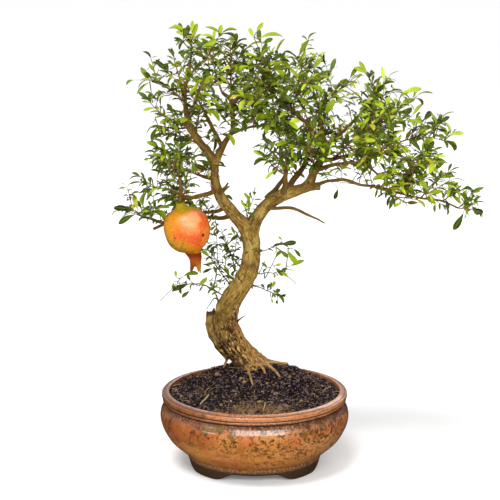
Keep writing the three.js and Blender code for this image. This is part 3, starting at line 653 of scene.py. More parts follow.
VOXEL = 0.00095
OLD_WOOD = ("trunk", "sawn_stump")
CREVICE_FOOT = 0.14  # where the stump parts from the trunk
parts = []
for number, name in enumerate(LIMBS):
    if name in THICK:
        sides = max(14, round(LIMBS[name][0][3] * 5))
        rings, grain = limb_rings(name, number, 1.3, sides, 0.9 if name in OLD_WOOD else 0.5)
        parts.append((skin(name, rings), grain))
rough, values = joined_mesh("rough_wood", parts)
trunk = piece("trunk_and_limbs", rough, bark)
near = KDTree(len(rough.vertices))
for i, vertex in enumerate(rough.vertices):
    near.insert(vertex.co, i)
near.balance()
remesh = trunk.modifiers.new("one_skin", "REMESH")
remesh.mode = "VOXEL"
remesh.voxel_size = VOXEL
remesh.use_smooth_shade = True
smooth = trunk.modifiers.new("worn", "SMOOTH")
smooth.factor = 0.5
smooth.iterations = 2
settled(trunk)
values = [values[near.find(vertex.co)[1]] for vertex in trunk.data.vertices]
flaked, rises, axes = [], [], []
for name in OLD_WOOD:
    course = [on_limb(name, i / 150) for i in range(151)]
    axis = KDTree(len(course))
    for i, station in enumerate(course):
        axis.insert(from_pot(*station.xyz), i)
    axis.balance()
    axes.append((axis, [station.w / 1000 for station in course]))
for vertex, (along, across, deep) in zip(trunk.data.vertices, values):
    at = vertex.co
    aged = min(1, max(0, (0.22 - at.z) / 0.04))
    flake = noise.noise(Vector((along * 150, across * 330, deep * 330)))
    ridge = 0.3 - abs(noise.noise(Vector((along * 55, across * 190, deep * 190))))
    clear = 0
    for axis, widths in axes:
        _, i, away = axis.find(at)
        clear = max(clear, away - widths[i])
    crevice = max(0, 1 - max(0, clear - 0.001) / 0.0027) if at.z > CREVICE_FOOT else 0
    # rise also carries the crevice, where the bark's colour paints its shade
    rises.append(flake + ridge - 2 * crevice)
    bump = 0.0004 * noise.noise(at * 120) + aged * (0.0013 * flake + 0.002 * ridge) - 0.003 * crevice
    flaked.extend(at + vertex.normal * bump * min(1, math.hypot(across, deep) / 0.006))
trunk.data.vertices.foreach_set("co", flaked)
trunk.data.update()
keep_grain(trunk.data, values)
trunk.data.attributes.new("rise", "FLOAT", "POINT").data.foreach_set("value", rises)

parts = []
for number, name in enumerate(LIMBS):
    if name not in THICK:
        rings, grain = limb_rings(name, number, 2.2, 10, 0.25)
        parts.append((skin(name, rings), grain))
fine_wood, values = joined_mesh("branches", parts)
keep_grain(fine_wood, values)
branches = piece("branches", fine_wood, bark)
for made in (trunk, branches):
    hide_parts("trunk")
    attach(made, "root")

# ---- Soil ----------------------------------------------------------------------------------------
# Dark peat with bark crumbs, root fibres and a little pale grit. It fills the pot to just under the lip
# and is heaped up round the foot of the trunk.

MOUND_HEIGHT, MOUND_MIDDLE, MOUND_SPREAD = 28, (4, 52), (62, 40)
SOIL_EDGE, SOIL_LEVEL, MOUTH_RADIUS = 114.7, 102, 115
SOIL_SIDE = ((0.2, 26), (60, 26), (83, 26), (107, 46), (117.5, 70), (114.5, 92), (SOIL_EDGE, 97))
SOIL_TURNS, SOIL_RINGS = 300, 95


def soil_height(x, y):
    wallward = math.hypot(x, y) / MOUTH_RADIUS
    away = math.hypot((x - MOUND_MIDDLE[0]) / MOUND_SPREAD[0], (y - MOUND_MIDDLE[1]) / MOUND_SPREAD[1])
    mound = MOUND_HEIGHT * math.exp(-0.5 * away * away) * max(0, 1 - wallward**6)
    lumps = 1.1 * math.sin(x / 8.3 + 1) * math.cos(y / 9.7) + 0.7 * math.sin(x / 3.9 - y / 5.1)
    return SOIL_LEVEL + mound + lumps


def peat(x, y):
    """The soil's height with its crumbs."""
    at = Vector((x, y, 0))
    return soil_height(x, y) + 2 * noise.fractal(at / 6.5, 0.8, 2.1, 4)


def front_mat(place):
    """How matted with fibres and browner the soil is: a patch at the front, below the trunk."""
    spread = {"Vector": ruffled(place, 40, 0.05), "Scale": (1, 1.3, 0)}
    spread = node(place.id_data, "ShaderNodeMapping", spread).outputs[0]
    away = steered("DISTANCE", spread, (0.004, -0.108, 0))
    return times(between(away, 0.06, 0.016), between(mottle(place, 170, 4, 0.7), 0.36, 0.6))


peat_colour, tree, shader = finish_of("dark_peat", 0.95, Specular_IOR_Level=0.1)
place = own_place(tree, from_pot(0, 0, 0))
lumps = mottle(place, 240, 5, 0.7, 0.4)
colour = coated(
    shaded(lumps, 0.36, 0.66, "060304", "2c2022"),
    (between(mottle(place, 480, 3, 0.6), 0.58, 0.7, 0, 0.75), "5f4f50"),
    (times(front_mat(place), 0.9), "7c5c3e"),
)
fed(shader, Base_Color=colour, Normal=relief(lumps, 0.003, 1.0))

rings = []
turns = [2 * math.pi * i / SOIL_TURNS for i in range(SOIL_TURNS)]
for r, z in SOIL_SIDE:
    rings.append([from_pot(r * math.cos(t), r * math.sin(t), z) for t in turns])
for step in range(SOIL_RINGS):
    r = SOIL_EDGE * (1 - step / (SOIL_RINGS + 0.5))
    flat = [(r * math.cos(t), r * math.sin(t)) for t in turns]
    rings.append([from_pot(x, y, peat(x, y)) for x, y in flat])
soil = piece("peat", skin("peat", rings), peat_colour)
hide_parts("soil")
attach(soil, "root")


def planted(tree, points, stock, pick, turn, size, tone_seed, material):
    """Shapes from a stock set on points by nodes, each with a tone of its own, as plain geometry."""
    shapes = node(tree, "GeometryNodeCollectionInfo", {"Collection": stock, "Separate Children": True})
    scale = node(tree, "ShaderNodeCombineXYZ", {0: size, 1: size, 2: size}).outputs[0]
    chosen = {"Instance": shapes.outputs[0], "Pick Instance": True, "Instance Index": pick}
    placing = {"Points": points, "Rotation": turn, "Scale": scale, **chosen}
    placed = node(tree, "GeometryNodeInstanceOnPoints", placing).outputs[0]
    tone = node(tree, "FunctionNodeRandomValue", {2: 0.0, 3: 1.0, "Seed": tone_seed}).outputs[1]
    toning = {"Geometry": placed, "Name": "tone", "Value": tone}
    toned = node(tree, "GeometryNodeStoreNamedAttribute", toning, domain="INSTANCE").outputs[0]
    real = node(tree, "GeometryNodeRealizeInstances", {0: toned}).outputs[0]
    return node(tree, "GeometryNodeSetMaterial", {"Geometry": real, "Material": material}).outputs[0]


UPWARD = 0.4  # the least upward share of a surface that crumbs lie on
ABOVE_WALL = 0.093  # metres; the soil's sides and bottom are lower
SHAPE_DRAWS = 50  # shapes are drawn by a number up to this, and repeat in turn


def sown(name, ground, stock, material, count, sizes, tilt, seed):
    """Pieces from the stock strewn over the upper side of a ground by nodes, as one plain piece."""
    tree = bpy.data.node_groups.new(name, "GeometryNodeTree")
    face = tree.interface
    face.new_socket("Ground", in_out="INPUT", socket_type="NodeSocketGeometry")
    wanted = {"Pieces per m2": count, "Smallest": sizes[0], "Largest": sizes[1], "Tilt": tilt}
    sockets = {key: face.new_socket(key, in_out="INPUT", socket_type="NodeSocketFloat") for key in wanted}
    face.new_socket("Pieces", in_out="OUTPUT", socket_type="NodeSocketGeometry")
    given = tree.nodes.new("NodeGroupInput").outputs
    rise = axes_of(node(tree, "GeometryNodeInputNormal").outputs[0])[2]
    height = axes_of(node(tree, "GeometryNodeInputPosition").outputs[0])[2]
    upper = times(reckoned("GREATER_THAN", rise, UPWARD), reckoned("GREATER_THAN", height, ABOVE_WALL))
    spread = {"Mesh": given["Ground"], "Selection": upper, "Density": given["Pieces per m2"], "Seed": seed}
    points = node(tree, "GeometryNodeDistributePointsOnFaces", spread).outputs["Points"]
    drawn = {2: given["Smallest"], 3: given["Largest"], "Seed": seed + 1}
    size = node(tree, "FunctionNodeRandomValue", drawn).outputs[1]
    tilts = given["Tilt"]
    back = times(tilts, -1.0)
    low = node(tree, "ShaderNodeCombineXYZ", {0: back, 1: back, 2: -3.14}).outputs[0]
    high = node(tree, "ShaderNodeCombineXYZ", {0: tilts, 1: tilts, 2: 3.14}).outputs[0]
    drawn = {0: low, 1: high, "Seed": seed + 2}
    turn = node(tree, "FunctionNodeRandomValue", drawn, data_type="FLOAT_VECTOR").outputs[0]
    drawn = {4: 0, 5: SHAPE_DRAWS, "Seed": seed + 3}
    pick = node(tree, "FunctionNodeRandomValue", drawn, data_type="INT").outputs[2]
    covered = planted(tree, points, stock, pick, turn, size, seed + 4, material)
    tree.links.new(covered, tree.nodes.new("NodeGroupOutput").inputs[0])
    made = piece(name, ground.copy())
    spreader = made.modifiers.new(name, "NODES")
    spreader.node_group = tree
    for key, value in wanted.items():
        spreader[sockets[key].identifier] = value
    return settled(made)


def stock_of(name, meshes):
    """A collection of shapes for the nodes to choose from."""
    stock = bpy.data.collections.new(name)
    for i, mesh in enumerate(meshes):
        stock.objects.link(bpy.data.objects.new(f"{name}_{i}", mesh))
    return stock


def crumb(number, rough):
    """A lump one unit across."""
    solid = bmesh.new()
    bmesh.ops.create_icosphere(solid, subdivisions=1, radius=0.5)
    draw = random.Random(number)
    stretch = Vector((draw.uniform(0.7, 1.1), draw.uniform(0.5, 0.9), draw.uniform(0.4, 0.8)))
    for corner in solid.verts:
        corner.co = corner.co * stretch * (1 + draw.uniform(-rough, rough))
    mesh = bpy.data.meshes.new("crumb")
    solid.to_mesh(mesh)
    solid.free()
    return mesh


def fibre(number):
    """A bent thread one unit long, lying nearly flat."""
    vary = random.Random(100 + number)
    bend, rise = vary.uniform(-0.5, 0.5), vary.uniform(0.05, 0.25)
    rings = []
    for i in range(6):
        s = i / 5
        at = Vector((s - 0.5, bend * math.sin(3 * s) * 0.5, rise * math.sin(math.pi * s)))
        thick = 0.035 * (1 - 0.5 * s)
        rings.append([at + Vector((0, math.cos(a) * thick, math.sin(a) * thick)) for a in (0, 2.1, 4.2)])
    return skin("fibre", rings)


def toned_finish(name, roughness, dark, light):
    """A finish whose colour varies from one small piece to the next."""
    made, tree, shader = finish_of(name, roughness, Specular_IOR_Level=0.12)
    tone = carried(tree, "tone")
    spots = mottle(own_place(tree), 500, 3)
    matted = front_mat(own_place(tree, from_pot(0, 0, 0)))
    colour = coated(
        shaded(tone, 0.35, 1.0, dark, light),
        (between(spots, 0.4, 0.7, 0, 0.4), dark),
        (times(matted, between(tone, 0.1, 0.6, 0.3, 0.9)), "9a7650"),
    )
    fed(shader, Base_Color=colour, Normal=relief(spots, 0.0003))
    return made


crumbs = stock_of("crumb", [crumb(i, 0.25) for i in range(8)])
fibres = stock_of("fibre", [fibre(i) for i in range(8)])
peat_crumb = toned_finish("peat_crumb", 0.9, "080404", "715e5e")
bark_crumb = toned_finish("bark_crumb", 0.9, "33220f", "86693f")
pale_grit = toned_finish("pale_grit", 0.8, "7d6538", "b59f6a")
peat_fibre = toned_finish("peat_fibre", 0.85, "2a1e1c", "a08c84")
root_fibre = toned_finish("root_fibre", 0.85, "5d4628", "a68d5c")
strewn = (
    sown("peat_crumbs", soil.data, crumbs, peat_crumb, 100000, (0.0016, 0.0052), 3.0, 3),
    sown("bark_crumbs", soil.data, crumbs, bark_crumb, 7000, (0.002, 0.005), 3.0, 13),
    sown("pale_grit", soil.data, crumbs, pale_grit, 330, (0.0022, 0.005), 3.0, 23),
    sown("peat_fibres", soil.data, fibres, peat_fibre, 26000, (0.004, 0.012), 0.6, 43),
    sown("root_fibres", soil.data, fibres, root_fibre, 2600, (0.006, 0.019), 0.4, 33),
)
for made in strewn:
    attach(made, "root")

# ---- Litter on the soil --------------------------------------------------------------------------
# What lies on the peat: tan lumps of clay, a pale husk and a snapped stalk standing in it, and a root thread.

LUMPS = [
    (-18, 12, 4.5), (-56, 79, 4), (-49, 79, 3.5), (-106, 4, 4), (7, -55, 6.5), (43, -68, 5.5), (48, 17, 5),
    (17, 0, 4), (-13, 27, 5), (21, 32, 4.5), (-62, -68, 4), (74, 34, 4.5), (80, -20, 4), (-51, 30, 6), (-14, 2, 6),
    (-98, -22, 5), (-44, -66, 4.5), (30, -24, 4), (62, -44, 4.5), (-34, 52, 4), (92, 12, 4), (-78, 40, 4.5),
]  # x, y and size in millimetres
STALKS = {
    "husk": ([(-72, -60, 104.5), (-69, -55, 106.5), (-65, -50, 109), (-61, -45, 113)], 1.6, "8e845a", "b8ad7c"),
    "snapped_stalk": ([(11, -82, 102.5), (13, -79, 107), (14, -76, 112)], 0.9, "a08454", "c8a878"),
    "root_thread": ([(36, 22, 113), (45, 12, 112.5), (54, 2, 109), (66, -4, 107.5)], 0.7, "87623e", "a5805a"),
}
STALK_TURNS = (0, 1, 2.1, 3.1, 4.2, 5.2)

lump_tan = toned_finish("lump_tan", 0.85, "86693f", "b8995e")
lumps = []
for number, (x, y, size) in enumerate(LUMPS):
    lump = crumb(number + 20, 0.28)
    wide = size * 1.2  # a lump fills less than its own size
    seat = from_pot(x, y, peat(x, y) + wide * 0.3)
    lump.transform(Matrix.Translation(seat) @ Matrix.Scale(wide / 1000, 4))
    lumps.append(lump)
litter = [piece("clay_lumps", merged("clay_lumps", lumps), lump_tan)]
for name, (route, thick, dark, light) in STALKS.items():
    rings = []
    line = through(route, 4)
    for i, at in enumerate(line):
        ahead = (line[min(i + 1, len(line) - 1)] - line[max(i - 1, 0)]).normalized()
        side = ahead.cross(Vector((0, 0, 1))).normalized()
        lift = side.cross(ahead)
        width = thick * (0.35 + 0.65 * math.sin(math.pi * (0.15 + 0.7 * i / len(line))))
        ring = []
        for a in STALK_TURNS:
            spot = at + side * math.cos(a) * width + lift * math.sin(a) * width * 0.6
            ring.append(from_pot(*spot))
        rings.append(ring)
    litter.append(piece(name, skin(name, rings), toned_finish(name, 0.8, dark, light)))
for made in litter:
    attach(made, "root")

# ---- Leafy sprays --------------------------------------------------------------------------------
# Each spray is a fine woody stem with side twigs. The leaves are small, narrow and glossy, folded along a
# pale midrib. They stand in pairs up the stem, in tufts on short spurs, and one ends each twig.

SPRAYS = {
    "crown_left_top": ("left_bough", 1, (-79, -18, 601), -0.03, 0.7),
    "crown_left_tall": ("left_bough", 0.56, (-107, -47, 577), 0.02, 0.45),
    "crown_left_arch": ("left_bough", 0.82, (-43, 38, 577), -0.02, 0.85),
    "crown_left_inner": ("mid_bough_up", 1, (-66, 42, 573), 0.03, 0.8),
    "crown_centre_tall": ("mid_bough_up", 0.67, (-33, 58, 586), -0.02, 1.5),
    "crown_left_rear": ("left_bough", 0.28, (-68, 104, 520), -0.07, 0.8),
    "crown_left_front": ("left_bough", 0.45, (-59, -96, 552), -0.02, 0.7),
    "left_high": ("left_bough", 0.35, (-141, -47, 477), -0.03, 0.35),
    "left_outer": ("left_bough", 0.42, (-152, 25, 515), -0.19, 0.3),
    "left_arching": ("left_bough", 0.6, (-153, 11, 530), 0.09, 0.3),
    "left_rear_high": ("left_bough", 0.18, (-133, 88, 445), 0.02, 0.9),
    "left_front": ("left_bough", 0.1, (-128, -66, 429), -0.02, 0.45),
    "left_rear_mid": ("upper_left_spur", 1, (-128, 78, 401), 0.02, 1.9),
    "left_above_fruit": ("fruit_branch", 1, (-124, -76, 452), 0.02, 1.1),
    "left_arc": ("fruit_branch", 0.42, (-156, -6, 374), 0.16, 0.7),
    "left_low_tip": ("left_rear_branch", 1, (-184, 62, 352), 0.03, 0.7),
    "left_low_front": ("left_rear_branch", 0.58, (-146, 10, 361), 0.08, 0.9),
    "left_behind_fruit": ("left_rear_twig", 1, (-133, 88, 358), 0.06, 2.2),
    "crown_mid_left": ("crown_diagonal", 1, (-13, -42, 567), -0.14, 1.25),
    "crown_mid_front": ("crown_diagonal", 0.86, (2, -64, 588), -0.02, 1.3),
    "crown_mid": ("mid_bough_fork", 1, (35, -14, 572), -0.08, 1.05),
    "crown_low_front": ("mid_bough_right", 1, (40, -39, 514), -0.07, 1.1),
    "crown_mid_rear": ("rear_bough_up", 1, (38, 100, 536), -0.01, 0.9),
    "crown_right_front": ("crown_diagonal", 0.6, (58, -64, 558), -0.05, 1.1),
    "crown_right_tall": ("crown_upright", 1, (46, 22, 569), 0.02, 1.05),
    "crown_right_arch": ("crown_upright", 0.72, (129, 36, 529), -0.02, 0.95),
    "crown_centre_rear": ("mid_bough_up", 0.46, (5, 101, 507), -0.04, 0.8),
    "crown_centre_front": ("mid_bough_right", 0.56, (2, -82, 531), -0.02, 0.95),
    "inner_rear_left": ("rear_bough", 1, (5, 110, 466), -0.03, 0.5),
    "inner_rear_right": ("rear_bough", 0.62, (117, 118, 452), -0.01, 1.6),
    "inner_front": ("front_bough", 1, (14, -60, 500), -0.02, 0.9),
    "inner_low": ("front_bough", 0.43, (8, -70, 446), -0.06, 0.35),
    "inner_mid": ("slanting_bough", 1, (57, 82, 456), -0.01, 1.4),
    "inner_front_right": ("right_riser", 0.43, (64, -76, 467), -0.01, 1.8),
    "right_top": ("crown_right", 1, (178, 50, 530), -0.09, 1.35),
    "right_mid_tip": ("upper_right_branch", 1, (278, 54, 428), 0.15, 1.2),
    "right_rear": ("upper_right_branch", 0.57, (187, 106, 476), -0.02, 2.1),
    "right_front_high": ("upper_right_branch", 0.29, (178, -70, 497), 0.03, 1.6),
    "right_crest": ("upper_right_branch", 0.71, (198, 0, 506), -0.02, 2),
    "right_low_front": ("right_branch", 1, (212, -72, 397), -0.09, 2),
    "right_front": ("right_branch", 0.62, (180, -107, 453), 0.03, 2.2),
    "low_branch_tip": ("low_branch", 1, (306, -37, 358), 0.02, 0.45),
    "low_branch_upper": ("low_branch", 0.88, (283, -64, 401), 0.02, 0.8),
    "low_branch_rear": ("low_branch", 0.75, (255, -2, 412), 0.02, 1.1),
    "low_branch_front": ("low_branch", 0.62, (208, -96, 440), 0.02, 1.8),
    "right_rear_low": ("upper_right_branch", 0.85, (253, 120, 397), -0.06, 0.85),
    "low_branch_back": ("low_branch", 0.43, (203, 41, 354), 0.03, 0.6),
    "sprout_right": ("trunk", 0.67, (55, 6, 274), -0.06, 0.05),
    "sprout_right_high": ("trunk", 0.79, (40, 2, 313), -0.06, 0.05),
    "sprout_right_low": ("trunk", 0.6, (43, 55, 218), 0.03, 0.05),
    "sprout_left_long": ("trunk", 0.45, (-106, -12, 249), 0.17, 0.05),
    "sprout_left_mid": ("trunk", 0.58, (-68, 66, 298), -0.11, 0.3),
    "sprout_left_high": ("trunk", 0.65, (-51, 56, 324), -0.09, 0.3),
    "sprout_fork": ("trunk", 1, (-12, 0, 372), 0, 0.15),
}

# Slender stems beside the trunk: their course, their thickness at the foot and how leafy they are.
WHIPS = {
    "left_behind_fruit": [
        ([(-62, 30, 345), (-66, 24, 357), (-74, 14, 368)], 0.6, 0.8),
        ([(-80, 41, 342), (-84, 34, 354), (-90, 24, 364)], 0.6, 0.8),
        ([(-70, 36, 341), (-66, 30, 330), (-60, 24, 316)], 0.6, 0.9),
        ([(-56, 30, 345), (-52, 22, 334), (-50, 18, 322)], 0.5, 0.8),
    ],
    "sprout_left_long": [
        ([(-47, 34, 219), (-52, 30, 231), (-57, 26, 243), (-61, 22, 254)], 1.3, 0.1),
        ([(-55, 30, 242), (-51, 26, 266), (-50, 24, 295), (-52, 20, 335)], 0.8, 0.8),
        ([(-102, -10, 257), (-113, -10, 246), (-126, -10, 232)], 0.4, 0),
    ],
    "sprout_left_mid": [([(-32, 34, 245), (-44, 38, 258), (-59, 44, 278), (-67, 48, 289)], 0.9, 0.5)],
    "sprout_left_high": [
        ([(-26, 34, 263), (-30, 38, 280), (-36, 42, 296), (-45, 50, 318)], 0.9, 0.6),
        ([(-26, 28, 291), (-25, 28, 303), (-21, 26, 313)], 0.5, 0.6),
    ],
    "sprout_right": [
        ([(14, 22, 256), (20, 20, 268), (29, 16, 288)], 0.7, 0),
        ([(41, 14, 268), (44, 12, 286), (46, 10, 303)], 0.7, 0),
        ([(38, 15, 265), (48, 14, 258), (57, 12, 250)], 0.5, 0),
    ],
}

# Leaves that stand on their own: the stalk's course from the nearest stem, then the leaf's tip.
OUTLIERS = {
    "sprout_left_long": [
        [(-86, -5, 246), (-94, -5, 237)],
        [(-75, -5, 252), (-64, -5, 260)],
        [(-70, -5, 253), (-65, -5, 252), (-53, -5, 243)],
        [(-85, -5, 258), (-89, -5, 266)],
        [(-102, -10, 259), (-107, -10, 259), (-112, -10, 249)],
        [(-100, -10, 256), (-99, -10, 245)],
        [(-96, -10, 266), (-80, -10, 278)],
        [(-104, -10, 264), (-107, -10, 272)],
    ],
    "sprout_left_mid": [
        [(-43, 40, 272), (-36, 40, 258)],
        [(-44, 38, 254), (-45, 38, 246)],
        [(-61, 42, 280), (-67, 42, 290)],
        [(-58, 42, 281), (-54, 42, 293)],
        [(-44, 42, 281), (-28, 42, 292)],
    ],
    "sprout_left_high": [
        [(-34, 42, 300), (-23, 42, 308)],
        [(-29, 40, 283), (-22, 40, 279)],
        [(-28, 38, 273), (-37, 38, 271)],
        [(-26, 38, 264), (-33, 38, 257)],
        [(-38, 46, 309), (-32, 46, 314)],
    ],
    "sprout_right": [
        [(28, 17, 284), (31, 16, 296)],
        [(18, 18, 271), (11, 18, 278)],
        [(18, 18, 271), (11, 18, 268)],
        [(26, 18, 274), (34, 18, 277)],
        [(27, 18, 272), (35, 18, 262)],
        [(47, 12, 275), (64, 12, 279)],
        [(43, 10, 299), (51, 10, 279)],
        [(51, 10, 300), (61, 10, 290)],
    ],
    "sprout_right_high": [
        [(33, 8, 305), (54, 6, 310)],
        [(29, 12, 301), (30, 12, 294)],
        [(37, 6, 311), (33, 6, 317)],
        [(33, 8, 298), (43, 8, 290)],
    ],
    "sprout_right_low": [
        [(14, 38, 238), (11, 38, 244)],
        [(21, 38, 236), (22, 38, 246)],
        [(22, 40, 225), (25, 40, 219)],
        [(31, 44, 226), (32, 44, 235)],
        [(32, 44, 222), (28, 44, 215)],
        [(35, 44, 228), (43, 44, 223)],
        [(24, 40, 238), (30, 40, 245)],
    ],
    "crown_left_top": [
        [(-82, -18, 590), (-81, -18, 606)],
        [(-84, -22, 586), (-99, -22, 600)],
        [(-72, -16, 584), (-54, -16, 576)],
    ],
    "crown_mid_front": [
        [(-1, -60, 590), (-6, -60, 600)],
        [(2, -60, 597), (9, -60, 607)],
        [(4, -64, 588), (27, -64, 609)],
    ],
    "crown_right_tall": [
        [(57, 22, 555), (70, 22, 572)],
        [(64, 20, 542), (79, 20, 549)],
        [(75, 10, 539), (87, 10, 552)],
        [(80, 0, 534), (92, 0, 538)],
    ],
    "crown_right_arch": [[(95, 36, 519), (100, 36, 531), (106, 36, 548)]],
    "right_top": [[(121, 50, 513), (127, 50, 522), (134, 50, 537)]],
    "right_crest": [
        [(169, 0, 512), (168, 0, 526), (166, 0, 541)],
        [(190, 0, 504), (202, 0, 514)],
        [(192, -5, 510), (210, -5, 523)],
        [(206, 0, 480), (218, 0, 493)],
    ],
    "right_mid_tip": [[(240, 54, 442), (245, 54, 464)]],
    "low_branch_tip": [
        [(282, -37, 392), (277, -37, 384), (271, -37, 359)],
        [(275, -40, 376), (273, -40, 360), (266, -40, 336)],
        [(276, -34, 367), (282, -34, 364), (304, -34, 357)],
    ],
    "low_branch_upper": [[(254, -64, 383), (255, -64, 399)]],
    "left_arching": [
        [(-134, 11, 496), (-137, 11, 523), (-147, 11, 540)],
        [(-134, 11, 496), (-138, 11, 523), (-157, 11, 518)],
        [(-134, 11, 496), (-138, 11, 526), (-158, 11, 526), (-169, 11, 525)],
        [(-134, 11, 496), (-137, 11, 525), (-120, 11, 521)],
    ],
    "left_above_fruit": [
        [(-84, -22, 420), (-65, -22, 415)],
        [(-80, -20, 430), (-70, -22, 406)],
        [(-78, -18, 424), (-58, -20, 424)],
    ],
    "left_high": [[(-125, -30, 472), (-140, -30, 456)]],
    "left_low_tip": [
        [(-158, 30, 346), (-175, 30, 360)],
        [(-156, 30, 347), (-165, 30, 366)],
        [(-159, 30, 343), (-182, 30, 334)],
        [(-162, 30, 348), (-186, 30, 356)],
    ],
    "low_branch_back": [[(100, -8, 395), (110, -15, 387), (106, -15, 372)]],
    "low_branch_front": [
        [(189, -96, 384), (176, -96, 377)],
        [(175, -96, 395), (165, -96, 383)],
        [(211, -90, 382), (196, -90, 381)],
    ],
}
GOLDEN_ANGLE = math.pi * (3 - math.sqrt(5))
LEAF_LENGTH = 25  # mm
NODE_SPACING = 35
STEM_STEP = 9  # mm between a stem's joints
PAIR_SPACING, SHOOT_SPACING, BARE_TWIG_SPACING = 10, 13, 15  # mm on a spray of fullness 1


def draw(spray, place):
    """The same repeatable draw from 0 to 1 that the part's own sprays are laid out by."""
    value = math.sin(spray * 12.9898 + place * 78.233) * 43758.5453
    return value - math.floor(value)


def stem_of(name):
    """A spray's curve, from the limb that bears it to the tip of its last leaf."""
    bearer, share, tip, arch, _ = SPRAYS[name]
    start = on_limb(bearer, share).xyz
    end = Vector(tip)
    bend = (start + end) / 2 + Vector((0, 0, 2 * arch * (end - start).length))

    def at(t):
        return start * (1 - t) ** 2 + bend * 2 * t * (1 - t) + end * t * t

    def towards(t):
        return ((bend - start) * (1 - t) + (end - bend) * t).normalized()

    return at, towards


def length_of(at):
    return sum((at((i + 1) / 40) - at(i / 40)).length for i in range(40))


LEAF_FORMS = 9
LEAF_STATIONS = (0, 0.07, 0.2, 0.37, 0.55, 0.73, 0.88, 0.97)


def leaf_blade(number):
    """A leaf one unit long, from the foot of its stalk along +X: strap, ordinary or broad in turn."""
    vary = random.Random(200 + number)
    width = (0.1, 0.14, 0.18)[number % 3] * vary.uniform(0.92, 1.08)
    fold, twist = vary.uniform(0.1, 0.75), vary.uniform(-0.7, 0.7)
    lift, droop = vary.uniform(-0.1, 0.45), vary.uniform(0.1, 1.5)
    sway = vary.uniform(-0.25, 0.25)
    at = Vector((0, 0, 0))
    rings, marks = [], []
    last = 0
    for u in LEAF_STATIONS:
        pitch = lift - droop * u
        yaw = sway * math.sin(2.2 * u)
        ahead = Vector((math.cos(pitch) * math.cos(yaw), math.sin(yaw), math.sin(pitch)))
        at = at + ahead * (u - last)
        last = u
        s = max(0, (u - 0.05) / 0.95)
        half = max(0.014, width * math.sin(math.pi * s**1.3) ** 0.8 if s else 0)
        thick = 0.016 if u < 0.1 else 0.009
        flat = ahead.cross(Vector((0, 0, 1))).normalized()
        up = flat.cross(ahead)
        cos, sin = math.cos(twist * u), math.sin(twist * u)
        flat, up = flat * cos + up * sin, up * cos - flat * sin
        raised = up * half * fold
        rings.append([at - flat * half + raised, at + up * thick, at + flat * half + raised, at - up * thick])
        marks += [(u, 1, 0.5), (u, 0, 1), (u, 1, 0.5), (u, 0, 0)]
    mesh = skin("leaf", rings)
    marks += [(0, 0, 1), (1, 0, 1)]
    blade = mesh.attributes.new("blade", "FLOAT_VECTOR", "POINT")
    blade.data.foreach_set("vector", [c for mark in marks for c in mark])
    margin = mesh.attributes.new("sharp_edge", "BOOLEAN", "EDGE")
    for edge, kept in zip(mesh.edges, margin.data):
        a, b = edge.vertices
        kept.value = a % 4 == b % 4 and a % 2 == 0 and max(a, b) < len(marks) - 2
    return mesh


leaf_green, tree, shader = finish_of("glossy_leaf", 0.38, Specular_IOR_Level=0.16)
tone, sun = carried(tree, "tone"), carried(tree, "sun")
along, aside, upper = axes_of(carried(tree, "blade", "Vector"))
aside = reckoned("ABSOLUTE", aside)
slant = reckoned("MULTIPLY_ADD", aside, -0.16, along)
veins = between(reckoned("SINE", times(slant, 75.0)), 0.75, 1.0, 0, 0.35)
again = reckoned("FRACT", times(tone, 7.0))
# painted light: leaves on the top, right and front of the crown are painted brighter, and young leaves paler, each
# with its own tone
bright = reckoned("MULTIPLY_ADD", sun, 0.5, tone)
colour = coated(
    over(again, paint("152100"), paint("506608")),
    (between(bright, 0.72, 0.98), over(again, paint("788e08"), paint("9cac16"))),
    (between(bright, 1.1, 1.32), over(again, paint("9fb018"), paint("b8c63a"))),
    (between(tone, 0.965, 0.985, 0, 0.7), "a8962a"),
    (times(veins, upper), "74862a"),
    (times(between(aside, 0.14, 0.03), 0.4), "8c9836"),
    (between(upper, 0.6, 0.4, 0, 0.6), "66782c"),
    (between(along, 0.1, 0.04), "9a6a3a"),
)
fed(shader, Base_Color=colour, Normal=relief(veins, 0.0003, 0.5))

twig_bark, tree, shader = finish_of("twig_bark", 0.65, Specular_IOR_Level=0.2)
place = own_place(tree, POT_AXIS)
grey = mottle(place, 300, 4)
colour = coated(
    shaded(mottle(place, 45, 2), 0.4, 0.6, "3a2412", "806030"),
    (between(grey, 0.45, 0.65, 0, 0.5), "a8884e"),
    (between(axes_of(place)[2], 0.33, 0.29, 0, 0.85), "34190e"),
)
fed(shader, Base_Color=colour, Normal=relief(grey, 0.0003))

leaves = stock_of("leaf", [leaf_blade(i) for i in range(LEAF_FORMS)])

growth = bpy.data.node_groups.new("leafy_spray", "GeometryNodeTree")
growth.interface.new_socket("Spray", in_out="INPUT", socket_type="NodeSocketGeometry")
twig_sides = growth.interface.new_socket("Twig Sides", in_out="INPUT", socket_type="NodeSocketInt")
leaf_size = growth.interface.new_socket("Leaf Length", in_out="INPUT", socket_type="NodeSocketFloat")
leaf_seed = growth.interface.new_socket("Seed", in_out="INPUT", socket_type="NodeSocketInt")
growth.interface.new_socket("Leafy Spray", in_out="OUTPUT", socket_type="NodeSocketGeometry")
given = growth.nodes.new("NodeGroupInput").outputs


def marked(name, kind="FLOAT"):
    """A value that the spray's points carry."""
    read = node(growth, "GeometryNodeInputNamedAttribute", {"Name": name}, data_type=kind)
    return next(o for o in read.outputs if o.enabled and o.name == "Attribute")


